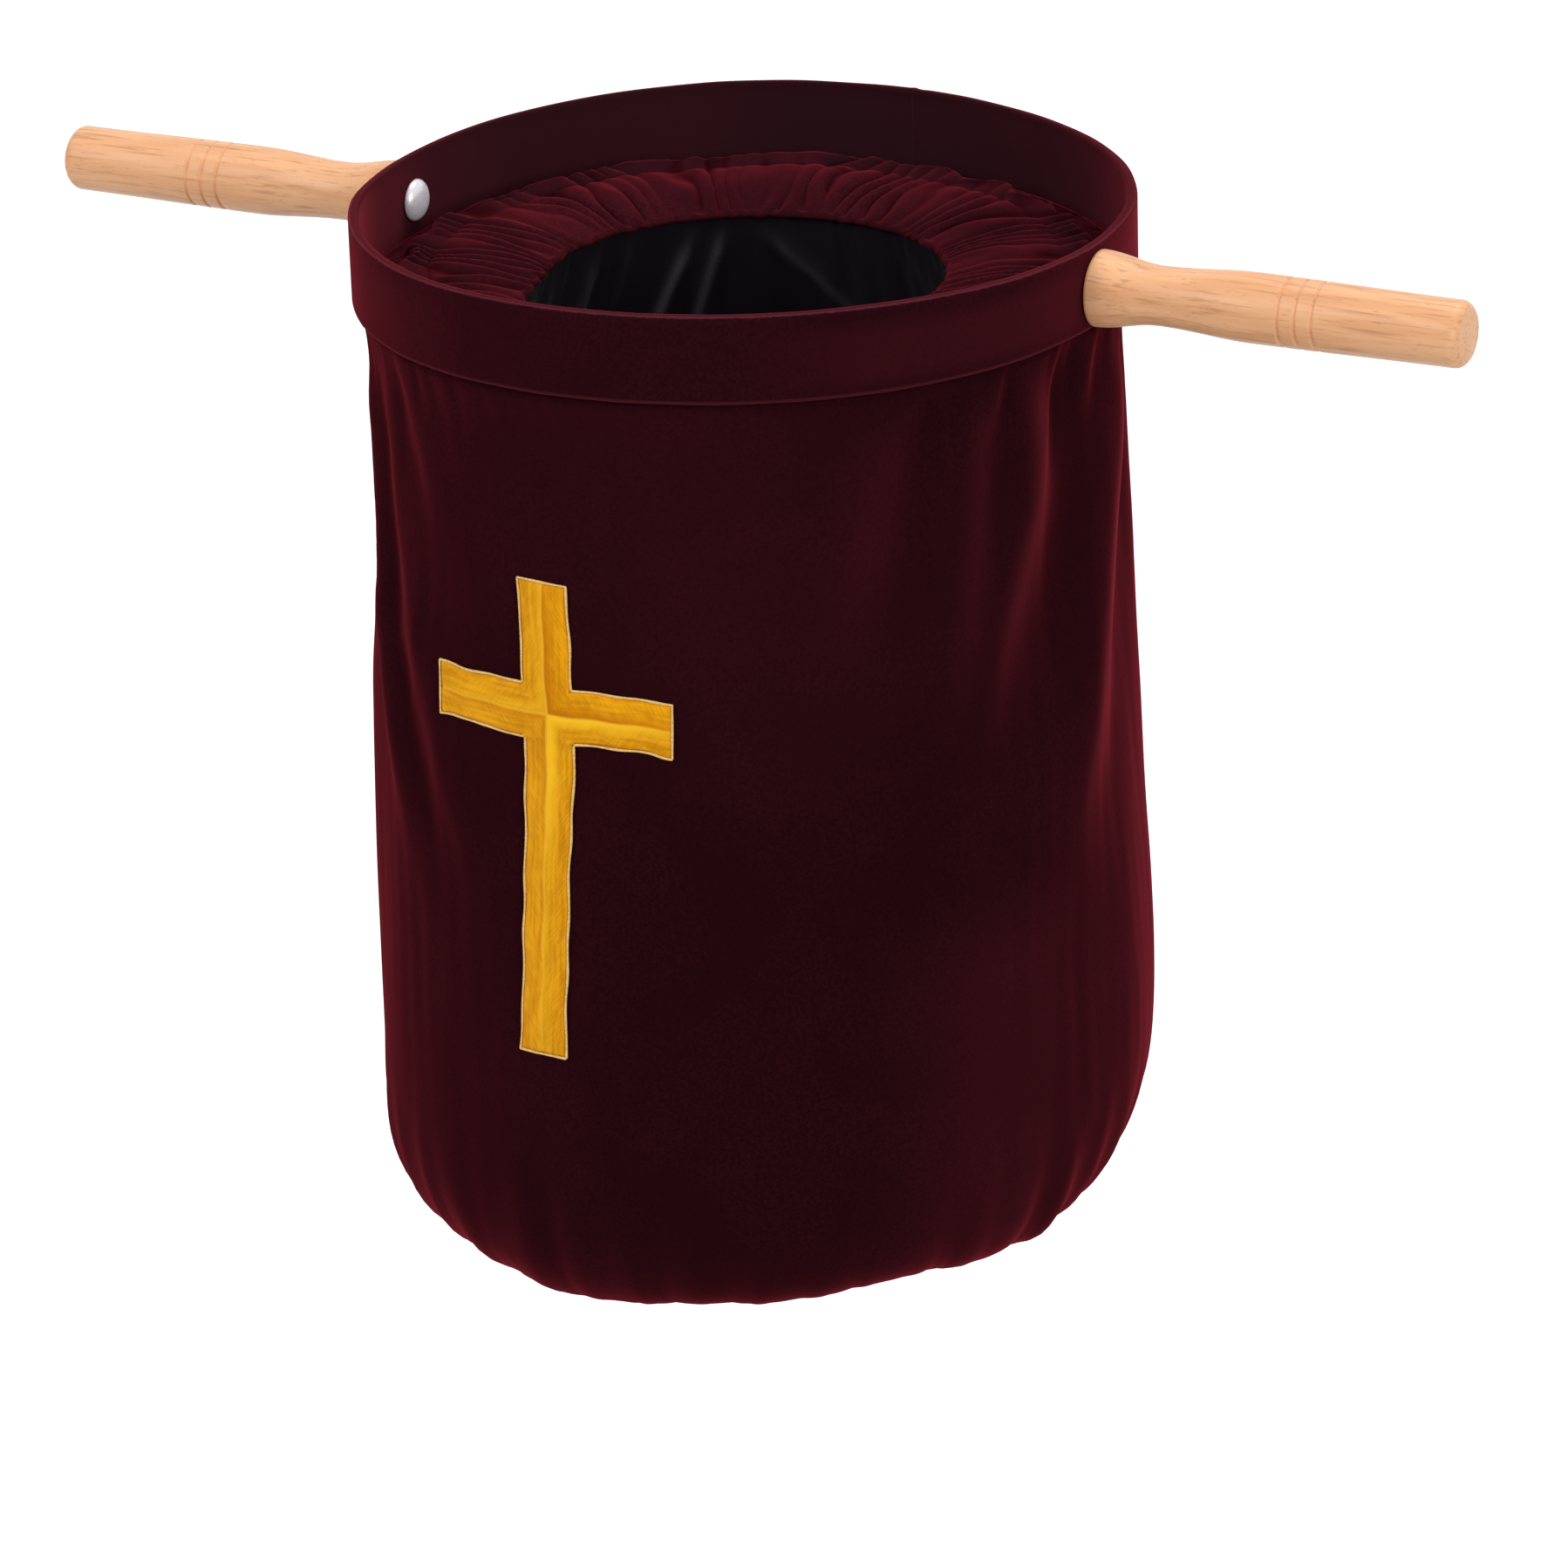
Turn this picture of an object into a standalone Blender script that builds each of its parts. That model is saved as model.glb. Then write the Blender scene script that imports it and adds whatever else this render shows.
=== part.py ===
"""Offertory bag with two turned handles.

A velvet-covered hoop carries a hanging velvet bag, a gathered velvet funnel and a satin pouch
under the funnel's throat. A handle stands out of the hoop on each side, held by a carriage bolt.

Frame: the origin is the hoop's centre on the handles' common axis, +X runs to the right handle,
-Y is the front with the cross, and +Z is up. Metres.
"""
import math

import bmesh
import bpy

# Fit and cloth
GAP = 0.0003  # clearance between pieces that touch
VELVET = 0.0008  # velvet with its pile
SATIN = 0.0008  # lining cloth

# Hoop
HOOP_RADIUS = 0.120  # over the velvet
HOOP_TOP = 0.0145
HOOP_HEIGHT = 0.027
BAND_THICKNESS = 0.0012
HOOP_EDGE_ROUND = 0.0012  # rounding of the cover's top edges

# Velvet bag
WALL_TOP_STEP = 0.0003  # how far the wall's top stands out from the cover's inner leg
WALL_DRAW_IN = 0.0031  # how far the cloth draws in just under the hoop
WALL_DRAW_HEIGHT = 0.022  # height over which it draws in
WALL_FLARE = 0.0078  # how far the wall swells outwards on its way down
WALL_FULL_Z = -0.240  # height at which the wall is widest
BAG_BOTTOM_Z = -0.310
WALL_CORNER_WIDTH = 0.034  # how far the rounded lower corner runs inwards
WALL_CORNER_POWER = 3.0

# Funnel and its topstitching
RIDGE_RADIUS = 0.1045  # the folded outer edge, which stands free of the hoop
RIDGE_BELOW_TOP = 0.0183  # from the hoop's top edge down to the ridge
SEAM_RISE = 0.0008  # height of the seam on the hoop's inner face over the hoop's lower edge
FUNNEL_DROP = 0.0057  # fall of the funnel from its ridge to the throat's lip
THROAT_RADIUS = 0.063
THROAT_LIP_RADIUS = 0.0015
THROAT_HEM = 0.0006  # straight hem below the rolled lip
TOPSTITCH_INSIDE_RIDGE = 0.0075  # from the ridge in to the line of stitches
TOPSTITCH_THREAD = 0.0004  # thread radius

# Satin pouch
POUCH_RADIUS = 0.088
POUCH_SHOULDER_DROP = 0.130  # height over which the pouch widens below the throat
POUCH_CORNER_HEIGHT = 0.080
POUCH_CORNER_POWER = 2.5
POUCH_BOTTOM_RADIUS = 0.060  # the bottom patch, which lifts into the throat

# Cross
CROSS_HEIGHT = 0.151
CROSS_WIDTH = 0.088
CROSS_UPRIGHT_WIDTH = 0.018
CROSS_ARM_WIDTH = 0.018
CROSS_TOP_Z = -0.0740
CROSS_ARM_DROP = 0.0415  # from the cross's top to the middle of its arms
CROSS_AZIMUTH = math.radians(-6.0)
CROSS_THICKNESS = 0.0012
CROSS_STITCH_RADIUS = 0.0006

# Handles
HANDLE_LENGTH = 0.120
HANDLE_FLARE_RADIUS = 0.0118
HANDLE_NECK_RADIUS = 0.0091
HANDLE_NECK_AT = 0.021  # distances along the handle, from the hoop
HANDLE_BELLY_RADIUS = 0.0107
HANDLE_BELLY_AT = 0.052
HANDLE_END_RADIUS = 0.0102
HANDLE_END_ROUND = 0.0035
GROOVE_AT = 0.0625  # first groove from the hoop
GROOVE_PITCH = 0.0055
GROOVE_COUNT = 3
GROOVE_WIDTH = 0.0012
GROOVE_DEPTH = 0.0006
HANDLE_BORE_DEPTH = 0.019

# Carriage bolt and threaded insert
BOLT_RADIUS = 0.0025
BOLT_LENGTH = 0.021
BOLT_HEAD_RADIUS = 0.0067
BOLT_HEAD_HEIGHT = 0.0033
BOLT_NECK_SIDE = 0.005
INSERT_RADIUS = 0.0042
INSERT_LENGTH = 0.015
INSERT_RECESS = 0.0008
INSERT_THREADS = 5
INSERT_THREAD_DEPTH = 0.0006

# Facets
HOOP_SEGMENTS = 64
BAG_SEGMENTS = 48
HANDLE_SEGMENTS = 24
BOLT_SEGMENTS = 20
MERGE = 0.00001

# Sizes that follow
HOOP_BOTTOM = HOOP_TOP - HOOP_HEIGHT
BAND_OUTER = HOOP_RADIUS - VELVET - GAP
BAND_INNER = BAND_OUTER - BAND_THICKNESS
COVER_INNER = BAND_INNER - GAP - VELVET
COVER_FLATS = COVER_INNER * math.cos(math.pi / HOOP_SEGMENTS)  # to the middle of a facet
WALL_TOP_Z = HOOP_BOTTOM - GAP
WALL_TOP_RADIUS = COVER_INNER + VELVET + WALL_TOP_STEP
WALL_FULL_RADIUS = WALL_TOP_RADIUS - WALL_DRAW_IN + WALL_FLARE
WALL_BOTTOM_RADIUS = WALL_FULL_RADIUS - WALL_CORNER_WIDTH
RIDGE_Z = HOOP_TOP - RIDGE_BELOW_TOP
TOPSTITCH_RADIUS = RIDGE_RADIUS - TOPSTITCH_INSIDE_RIDGE
FUNNEL_RADIUS = COVER_FLATS - GAP
THROAT_TOP_Z = RIDGE_Z - FUNNEL_DROP
THROAT_ROLL_Z = THROAT_TOP_Z - THROAT_LIP_RADIUS
THROAT_BOTTOM_Z = THROAT_ROLL_Z - THROAT_HEM
POUCH_TOP_Z = THROAT_BOTTOM_Z - GAP
POUCH_TOP_RADIUS = THROAT_RADIUS + VELVET
POUCH_BOTTOM_Z = BAG_BOTTOM_Z + VELVET + GAP
HANDLE_START = HOOP_RADIUS + GAP
# the head's flat underside meets the hollow of the hoop at the head's rim
BOLT_SEAT = math.sqrt(COVER_FLATS**2 - BOLT_HEAD_RADIUS**2) - GAP
BOLT_NECK_LENGTH = BAND_OUTER - BAND_THICKNESS / 2 - BOLT_SEAT  # to the band's middle
INSERT_START = HANDLE_START + INSERT_RECESS


def clear_scene():
    """Removes the objects of the start file."""
    for obj in list(bpy.data.objects):
        bpy.data.objects.remove(obj, do_unlink=True)


def new_collection(name):
    """Makes a collection in the scene."""
    collection = bpy.data.collections.new(name)
    bpy.context.scene.collection.children.link(collection)
    return collection


clear_scene()
PARTS = new_collection("offertory_bag")
CUTTERS = new_collection("cutters")


def material(name, colour, roughness, metallic=0.0):
    """A Principled material of one colour."""
    mat = bpy.data.materials.new(name)
    mat.use_nodes = True
    shader = mat.node_tree.nodes["Principled BSDF"]
    shader.inputs["Base Color"].default_value = (*colour, 1.0)
    shader.inputs["Roughness"].default_value = roughness
    shader.inputs["Metallic"].default_value = metallic
    return mat


def add_object(name, data, mat=None, collection=None):
    """Links a mesh or curve as a named object."""
    obj = bpy.data.objects.new(name, data)
    (collection or PARTS).objects.link(obj)
    if mat:
        data.materials.append(mat)
    return obj


def make_cutter(obj):
    """Marks an object as a cutting tool only."""
    obj.hide_render = True
    obj.display_type = "WIRE"


def profile_mesh(name, points, closed):
    """An outline of (radius, height) points in the XZ plane, as edges for the Screw modifier."""
    bm = bmesh.new()
    verts = [bm.verts.new((r, 0.0, z)) for r, z in points]
    for a, b in zip(verts, verts[1:]):
        bm.edges.new((a, b))
    if closed:
        bm.edges.new((verts[-1], verts[0]))
    mesh = bpy.data.meshes.new(name)
    bm.to_mesh(mesh)
    bm.free()
    return mesh


def turned(name, points, segments, mat, closed=False, collection=None):
    """A turned piece: the outline runs down its outer side, and turns about the object's Z."""
    obj = add_object(name, profile_mesh(name, points, closed), mat, collection)
    screw = obj.modifiers.new("turn", "SCREW")
    screw.angle = 2 * math.pi
    screw.steps = segments
    screw.render_steps = segments
    screw.use_merge_vertices = True
    screw.merge_threshold = MERGE
    screw.use_smooth_shade = True
    return obj


def thicken(obj, thickness, offset):
    """Gives an open surface its cloth thickness."""
    solid = obj.modifiers.new("thickness", "SOLIDIFY")
    solid.thickness = thickness
    solid.offset = offset
    solid.use_even_offset = True
    return solid


def cut(obj, tool, operation="DIFFERENCE"):
    """Cuts or joins with another object."""
    boolean = obj.modifiers.new(tool.name, "BOOLEAN")
    boolean.operation = operation
    boolean.solver = "EXACT"
    boolean.object = tool


def along(side):
    """The rotation that lays an object's Z along +X or -X."""
    return (0.0, side * math.pi / 2, 0.0)


def superellipse_drop(share, power):
    """How much of the corner's width is left at a share of its height."""
    return (1.0 - share**power) ** (1.0 / power)


def wall_radius(z):
    """The velvet wall's outer radius at a height."""
    if z > WALL_FULL_Z:
        t = (WALL_TOP_Z - z) / (WALL_TOP_Z - WALL_FULL_Z)
        undrawn = max(0.0, 1 - (WALL_TOP_Z - z) / WALL_DRAW_HEIGHT)
        swell = WALL_FLARE * math.sin(math.pi / 2 * t) ** 2
        return WALL_TOP_RADIUS - WALL_DRAW_IN * (1 - undrawn**2) + swell
    share = (WALL_FULL_Z - z) / (WALL_FULL_Z - BAG_BOTTOM_Z)
    return WALL_BOTTOM_RADIUS + WALL_CORNER_WIDTH * superellipse_drop(share, WALL_CORNER_POWER)


def corner_points(full_z, bottom_z, bottom_radius, width, power, count):
    """Points round a bag's lower corner, from its widest height to its flat bottom."""
    points = []
    for i in range(count + 1):
        angle = math.pi / 2 * i / count
        r = bottom_radius + width * math.cos(angle) ** (2.0 / power)
        z = full_z - (full_z - bottom_z) * math.sin(angle) ** (2.0 / power)
        points.append((r, z))
    return points


def hoop_band():
    """The stiff band inside the hoop."""
    top = HOOP_TOP - VELVET - GAP
    bottom = HOOP_BOTTOM + GAP
    outline = [(BAND_OUTER, top), (BAND_OUTER, bottom), (BAND_INNER, bottom), (BAND_INNER, top)]
    steel = material("band_steel", (0.50, 0.51, 0.53), 0.4, 0.9)
    return turned("hoop_band", outline, HOOP_SEGMENTS, steel, closed=True)


def hoop_cover():
    """The velvet wrapped over the band: outer face, top edge and inner face, open below."""
    edge = HOOP_EDGE_ROUND * math.sin(math.pi / 4)
    side = HOOP_EDGE_ROUND - edge
    inner_of_outer = HOOP_RADIUS - VELVET
    outer_of_inner = COVER_INNER + VELVET
    outline = [
        (HOOP_RADIUS - HOOP_EDGE_ROUND, HOOP_TOP),
        (HOOP_RADIUS - side, HOOP_TOP - side),
        (HOOP_RADIUS, HOOP_TOP - HOOP_EDGE_ROUND),
        (HOOP_RADIUS, HOOP_BOTTOM),
        (inner_of_outer, HOOP_BOTTOM),
        (inner_of_outer, HOOP_TOP - VELVET),
        (outer_of_inner, HOOP_TOP - VELVET),
        (outer_of_inner, HOOP_BOTTOM),
        (COVER_INNER, HOOP_BOTTOM),
        (COVER_INNER, HOOP_TOP - HOOP_EDGE_ROUND),
        (COVER_INNER + side, HOOP_TOP - side),
        (COVER_INNER + HOOP_EDGE_ROUND, HOOP_TOP),
    ]
    velvet = material("hoop_velvet", (0.09, 0.008, 0.014), 0.85)
    return turned("hoop_cover", outline, HOOP_SEGMENTS, velvet, closed=True)


def bolt_holes(band, cover):
    """Drills the band and its cover for both bolts: a square seat inside, a round hole through."""
    length = 2 * (HOOP_RADIUS - COVER_INNER)
    for name, side in (("left", -1), ("right", 1)):
        bpy.ops.mesh.primitive_cylinder_add(
            vertices=BOLT_SEGMENTS,
            radius=BOLT_RADIUS + GAP,
            depth=length,
            location=(side * (HOOP_RADIUS + COVER_INNER) / 2, 0, 0),
            rotation=along(1),
        )
        hole = bpy.context.object
        hole.name = f"hole_{name}"
        depth = BOLT_NECK_LENGTH + GAP
        bpy.ops.mesh.primitive_cube_add(size=1, location=(side * (BOLT_SEAT + depth / 2), 0, 0))
        seat = bpy.context.object
        seat.name = f"seat_{name}"
        square = BOLT_NECK_SIDE + 2 * GAP
        seat.scale = (depth, square, square)
        for tool in (hole, seat):
            tool.users_collection[0].objects.unlink(tool)
            CUTTERS.objects.link(tool)
            make_cutter(tool)
            cut(band, tool)
            cut(cover, tool)


def bag_wall():
    """The velvet side of the bag, from the hoop's lower edge round the lower corner."""
    top_rows = 3
    rows = 6
    waist_z = WALL_TOP_Z - WALL_DRAW_HEIGHT
    heights = [WALL_TOP_Z + (waist_z - WALL_TOP_Z) * i / top_rows for i in range(top_rows)]
    heights += [waist_z + (WALL_FULL_Z - waist_z) * i / rows for i in range(rows)]
    outline = [(wall_radius(z), z) for z in heights]
    outline += corner_points(
        WALL_FULL_Z, BAG_BOTTOM_Z, WALL_BOTTOM_RADIUS, WALL_CORNER_WIDTH, WALL_CORNER_POWER, 8
    )
    velvet = material("bag_velvet", (0.08, 0.007, 0.013), 0.85)
    wall = turned("bag_wall", outline, BAG_SEGMENTS, velvet)
    thicken(wall, VELVET, -1)
    return wall


def flat_disc(name, radius, bottom_z, thickness, segments, mat):
    """A round cloth panel lying level."""
    outline = [
        (0.0, bottom_z + thickness),
        (radius, bottom_z + thickness),
        (radius, bottom_z),
        (0.0, bottom_z),
    ]
    return turned(name, outline, segments, mat)


def bag_base():
    """The round velvet panel that closes the bag."""
    velvet = material("base_velvet", (0.07, 0.006, 0.011), 0.85)
    radius = WALL_BOTTOM_RADIUS - GAP
    return flat_disc("bag_base", radius, BAG_BOTTOM_Z, VELVET, BAG_SEGMENTS, velvet)


def funnel_height(radius):
    """The funnel's upper surface at a radius between the throat's lip and the ridge."""
    lip = THROAT_RADIUS + THROAT_LIP_RADIUS
    share = (RIDGE_RADIUS - radius) / (RIDGE_RADIUS - lip)
    return RIDGE_Z - FUNNEL_DROP * share


def funnel():
    """The gathered velvet ring that narrows the mouth.

    From its rolled edge at the throat it rises to a ridge, and from there it falls to its seam on
    the hoop's inner face.
    """
    lip = THROAT_RADIUS + THROAT_LIP_RADIUS
    rows = 3
    upper = []
    for i in range(rows + 1):
        r = lip + (RIDGE_RADIUS - lip) * i / rows
        upper.append((r, funnel_height(r)))
    upper.append((FUNNEL_RADIUS, HOOP_BOTTOM + SEAM_RISE))
    steps = 3
    roll = [(THROAT_RADIUS, THROAT_BOTTOM_Z)]
    for i in range(steps):
        angle = math.pi / 2 * i / steps
        r = lip - THROAT_LIP_RADIUS * math.cos(angle)
        roll.append((r, THROAT_ROLL_Z + THROAT_LIP_RADIUS * math.sin(angle)))
    velvet = material("funnel_velvet", (0.12, 0.010, 0.016), 0.85)
    ring = turned("funnel", roll + upper, BAG_SEGMENTS, velvet)
    thicken(ring, VELVET, -1)
    return ring


def funnel_topstitch():
    """The line of stitching near the funnel's outer edge."""
    height = funnel_height(TOPSTITCH_RADIUS) + GAP + TOPSTITCH_THREAD
    bpy.ops.mesh.primitive_torus_add(
        major_segments=HOOP_SEGMENTS,
        minor_segments=6,
        major_radius=TOPSTITCH_RADIUS,
        minor_radius=TOPSTITCH_THREAD,
        location=(0, 0, height),
    )
    ring = bpy.context.object
    ring.name = "funnel_topstitch"
    ring.users_collection[0].objects.unlink(ring)
    PARTS.objects.link(ring)
    ring.data.materials.append(material("topstitch_thread", (0.16, 0.016, 0.022), 0.7))
    return ring


def pouch_wall():
    """The satin side of the pouch: it widens below the throat and rounds in to its bottom."""
    shoulder_z = POUCH_TOP_Z - POUCH_SHOULDER_DROP
    rows = 6
    outline = []
    for i in range(rows + 1):
        t = i / rows
        r = POUCH_TOP_RADIUS + (POUCH_RADIUS - POUCH_TOP_RADIUS) * math.sin(math.pi / 2 * t)
        outline.append((r, POUCH_TOP_Z + (shoulder_z - POUCH_TOP_Z) * t))
    edge = POUCH_BOTTOM_RADIUS + GAP
    outline += corner_points(
        POUCH_BOTTOM_Z + POUCH_CORNER_HEIGHT,
        POUCH_BOTTOM_Z,
        edge,
        POUCH_RADIUS - edge,
        POUCH_CORNER_POWER,
        6,
    )
    satin = material("pouch_satin", (0.012, 0.012, 0.014), 0.35)
    wall = turned("lining_wall", outline, BAG_SEGMENTS, satin)
    thicken(wall, SATIN, -1)
    return wall


def pouch_bottom():
    """The bottom of the satin pouch, which lies on the velvet base."""
    satin = material("pouch_bottom_satin", (0.013, 0.013, 0.015), 0.35)
    radius = POUCH_BOTTOM_RADIUS
    return flat_disc("lining_bottom", radius, POUCH_BOTTOM_Z, SATIN, BAG_SEGMENTS, satin)


def on_wall(across, z, standoff):
    """A point on the front of the velvet wall: a distance across from the cross's middle line."""
    radius = wall_radius(z) + standoff
    azimuth = CROSS_AZIMUTH + across / wall_radius(z)
    return (radius * math.sin(azimuth), -radius * math.cos(azimuth), z)


def steps_between(stops, pitch):
    """The stops with even points between them, about a pitch apart."""
    values = [stops[0]]
    for a, b in zip(stops, stops[1:]):
        count = max(1, round(abs(b - a) / pitch))
        values += [a + (b - a) * i / count for i in range(1, count + 1)]
    return values


def cross_applique():
    """The cross of cloth laid on the wall, following its curve."""
    arm_z = CROSS_TOP_Z - CROSS_ARM_DROP
    half_upright = CROSS_UPRIGHT_WIDTH / 2
    half_arm = CROSS_ARM_WIDTH / 2
    columns = steps_between(
        [-CROSS_WIDTH / 2, -half_upright, half_upright, CROSS_WIDTH / 2], 0.007
    )
    rows = steps_between(
        [CROSS_TOP_Z - CROSS_HEIGHT, arm_z - half_arm, arm_z + half_arm, CROSS_TOP_Z], 0.012
    )
    bm = bmesh.new()
    bmesh.ops.create_grid(bm, x_segments=len(columns) - 1, y_segments=len(rows) - 1, size=1)
    outside = []
    for face in bm.faces:
        centre = face.calc_center_median()
        column = int((centre.x + 1) / 2 * (len(columns) - 1))
        row = int((centre.y + 1) / 2 * (len(rows) - 1))
        across = (columns[column] + columns[column + 1]) / 2
        height = (rows[row] + rows[row + 1]) / 2
        if abs(across) > half_upright and abs(height - arm_z) > half_arm:
            outside.append(face)
    bmesh.ops.delete(bm, geom=outside, context="FACES")
    for vert in bm.verts:
        column = round((vert.co.x + 1) / 2 * (len(columns) - 1))
        row = round((vert.co.y + 1) / 2 * (len(rows) - 1))
        vert.co = on_wall(columns[column], rows[row], GAP)
    mesh = bpy.data.meshes.new("cross_applique")
    bm.to_mesh(mesh)
    bm.free()
    cross = add_object("cross_applique", mesh, material("cross_gold", (0.72, 0.34, 0.03), 0.5))
    thicken(cross, CROSS_THICKNESS, 1)
    return cross


def cross_edge_stitch():
    """The raised line of stitches that binds the cross's edge."""
    arm_z = CROSS_TOP_Z - CROSS_ARM_DROP
    out = GAP + CROSS_STITCH_RADIUS
    upright = CROSS_UPRIGHT_WIDTH / 2 + out
    arm = CROSS_ARM_WIDTH / 2 + out
    half = CROSS_WIDTH / 2 + out
    top = CROSS_TOP_Z + out
    bottom = CROSS_TOP_Z - CROSS_HEIGHT - out
    right_side = [
        (upright, top),
        (upright, arm_z + arm),
        (half, arm_z + arm),
        (half, arm_z - arm),
        (upright, arm_z - arm),
        (upright, bottom),
    ]
    corners = right_side + [(-across, z) for across, z in reversed(right_side)]
    points = []
    pitch = 0.010
    for (a, b), (c, d) in zip(corners, corners[1:] + corners[:1]):
        count = max(1, round(math.hypot(c - a, d - b) / pitch))
        points += [(a + (c - a) * i / count, b + (d - b) * i / count) for i in range(count)]
    curve = bpy.data.curves.new("cross_edge_stitch", "CURVE")
    curve.dimensions = "3D"
    curve.bevel_depth = CROSS_STITCH_RADIUS
    curve.bevel_resolution = 1
    spline = curve.splines.new("POLY")
    spline.points.add(len(points) - 1)
    for point, (across, z) in zip(spline.points, points):
        point.co = (*on_wall(across, z, GAP + CROSS_STITCH_RADIUS), 1.0)
    spline.use_cyclic_u = True
    return add_object("cross_edge_stitch", curve, material("cross_thread", (0.85, 0.58, 0.16), 0.5))


def smooth_between(a, b, t):
    """A value that eases from a to b."""
    return a + (b - a) * (1 - math.cos(math.pi * t)) / 2


def handle_radius(s):
    """The turned handle's radius at a distance from the hoop, without its grooves."""
    if s < HANDLE_NECK_AT:
        return smooth_between(HANDLE_FLARE_RADIUS, HANDLE_NECK_RADIUS, s / HANDLE_NECK_AT)
    if s < HANDLE_BELLY_AT:
        t = (s - HANDLE_NECK_AT) / (HANDLE_BELLY_AT - HANDLE_NECK_AT)
        return smooth_between(HANDLE_NECK_RADIUS, HANDLE_BELLY_RADIUS, t)
    t = (s - HANDLE_BELLY_AT) / (HANDLE_LENGTH - HANDLE_BELLY_AT)
    return smooth_between(HANDLE_BELLY_RADIUS, HANDLE_END_RADIUS, t)


def handle(name, side):
    """A turned wooden handle, with a blind bore for its threaded insert."""
    outline = [(0.0, HANDLE_LENGTH)]
    rounding = 4
    end_radius = handle_radius(HANDLE_LENGTH)
    for i in range(rounding + 1):
        angle = math.pi / 2 * i / rounding
        r = end_radius - HANDLE_END_ROUND * (1 - math.sin(angle))
        outline.append((r, HANDLE_LENGTH - HANDLE_END_ROUND * (1 - math.cos(angle))))
    body = []
    for i in range(8):
        body.append(HANDLE_BELLY_AT * i / 8)
    body += [HANDLE_BELLY_AT, (HANDLE_LENGTH - HANDLE_END_ROUND + GROOVE_AT) / 2]
    side_points = [(handle_radius(s), s) for s in body]
    for i in range(GROOVE_COUNT):
        middle = GROOVE_AT + i * GROOVE_PITCH
        for offset, depth in ((-0.5, 0), (0, GROOVE_DEPTH), (0.5, 0)):
            s = middle + offset * GROOVE_WIDTH
            side_points.append((handle_radius(s) - depth, s))
    outline += sorted(side_points, key=lambda point: -point[1])
    bore = INSERT_RADIUS + GAP
    outline += [(bore, 0.0), (bore, HANDLE_BORE_DEPTH), (0.0, HANDLE_BORE_DEPTH)]
    wood = material(f"{name}_wood", (0.80, 0.52, 0.30), 0.45)
    obj = turned(name, outline, HANDLE_SEGMENTS, wood)
    obj.location = (side * HANDLE_START, 0, 0)
    obj.rotation_euler = along(side)
    return obj


def carriage_bolt(name, side):
    """A round-headed bolt: smooth dome inside the hoop, square neck, shank out to the handle."""
    dome = 5
    outline = [(0.0, BOLT_LENGTH), (BOLT_RADIUS, BOLT_LENGTH), (BOLT_RADIUS, 0.0)]
    outline.append((BOLT_HEAD_RADIUS, 0.0))
    for i in range(1, dome):
        angle = math.pi / 2 * i / dome
        outline.append((BOLT_HEAD_RADIUS * math.cos(angle), -BOLT_HEAD_HEIGHT * math.sin(angle)))
    outline.append((0.0, -BOLT_HEAD_HEIGHT))
    steel = material(f"{name}_steel", (0.62, 0.60, 0.63), 0.3, 0.9)
    bolt = turned(name, outline, BOLT_SEGMENTS, steel)
    bolt.location = (side * BOLT_SEAT, 0, 0)
    bolt.rotation_euler = along(side)
    bpy.ops.mesh.primitive_cube_add(
        size=1, location=(side * (BOLT_SEAT + (BOLT_NECK_LENGTH - GAP) / 2), 0, 0)
    )
    neck = bpy.context.object
    neck.name = f"{name}_neck"
    neck.scale = (BOLT_NECK_LENGTH + GAP, BOLT_NECK_SIDE, BOLT_NECK_SIDE)
    neck.users_collection[0].objects.unlink(neck)
    CUTTERS.objects.link(neck)
    make_cutter(neck)
    cut(bolt, neck, "UNION")
    return bolt


def threaded_insert(name, side):
    """A brass sleeve with coarse outer threads, set in the handle's bore."""
    bore = BOLT_RADIUS + GAP
    pitch = INSERT_LENGTH / INSERT_THREADS
    outline = []
    for i in range(INSERT_THREADS):
        top = INSERT_LENGTH - i * pitch
        outline.append((INSERT_RADIUS - INSERT_THREAD_DEPTH, top))
        outline.append((INSERT_RADIUS, top - pitch / 2))
    outline.append((INSERT_RADIUS - INSERT_THREAD_DEPTH, 0.0))
    outline += [(bore, 0.0), (bore, INSERT_LENGTH)]
    brass = material(f"{name}_brass", (0.72, 0.52, 0.22), 0.35, 0.9)
    insert = turned(name, outline, BOLT_SEGMENTS, brass, closed=True)
    insert.location = (side * INSERT_START, 0, 0)
    insert.rotation_euler = along(side)
    return insert


def build():
    """Makes every piece."""
    bolt_holes(hoop_band(), hoop_cover())
    bag_wall()
    bag_base()
    funnel()
    funnel_topstitch()
    pouch_wall()
    pouch_bottom()
    cross_applique()
    cross_edge_stitch()
    for name, side in (("left", -1), ("right", 1)):
        handle(f"handle_{name}", side)
        carriage_bolt(f"carriage_bolt_{name}", side)
        threaded_insert(f"threaded_insert_{name}", side)


build()
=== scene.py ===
"""Looks of an offertory bag: velvet, satin, wood, steel and a gold cross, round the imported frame.

The frame is the part's own: the origin is the hoop's centre on the handles' axis, +X runs to the
right handle, -Y is the front with the cross and +Z is up. Sizes are in metres, azimuths are
measured from the front towards +X. Tables of measured shapes are in degrees and millimetres.
"""
import math

import bmesh
import bpy
import numpy as np
from mathutils import Matrix, Vector


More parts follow.
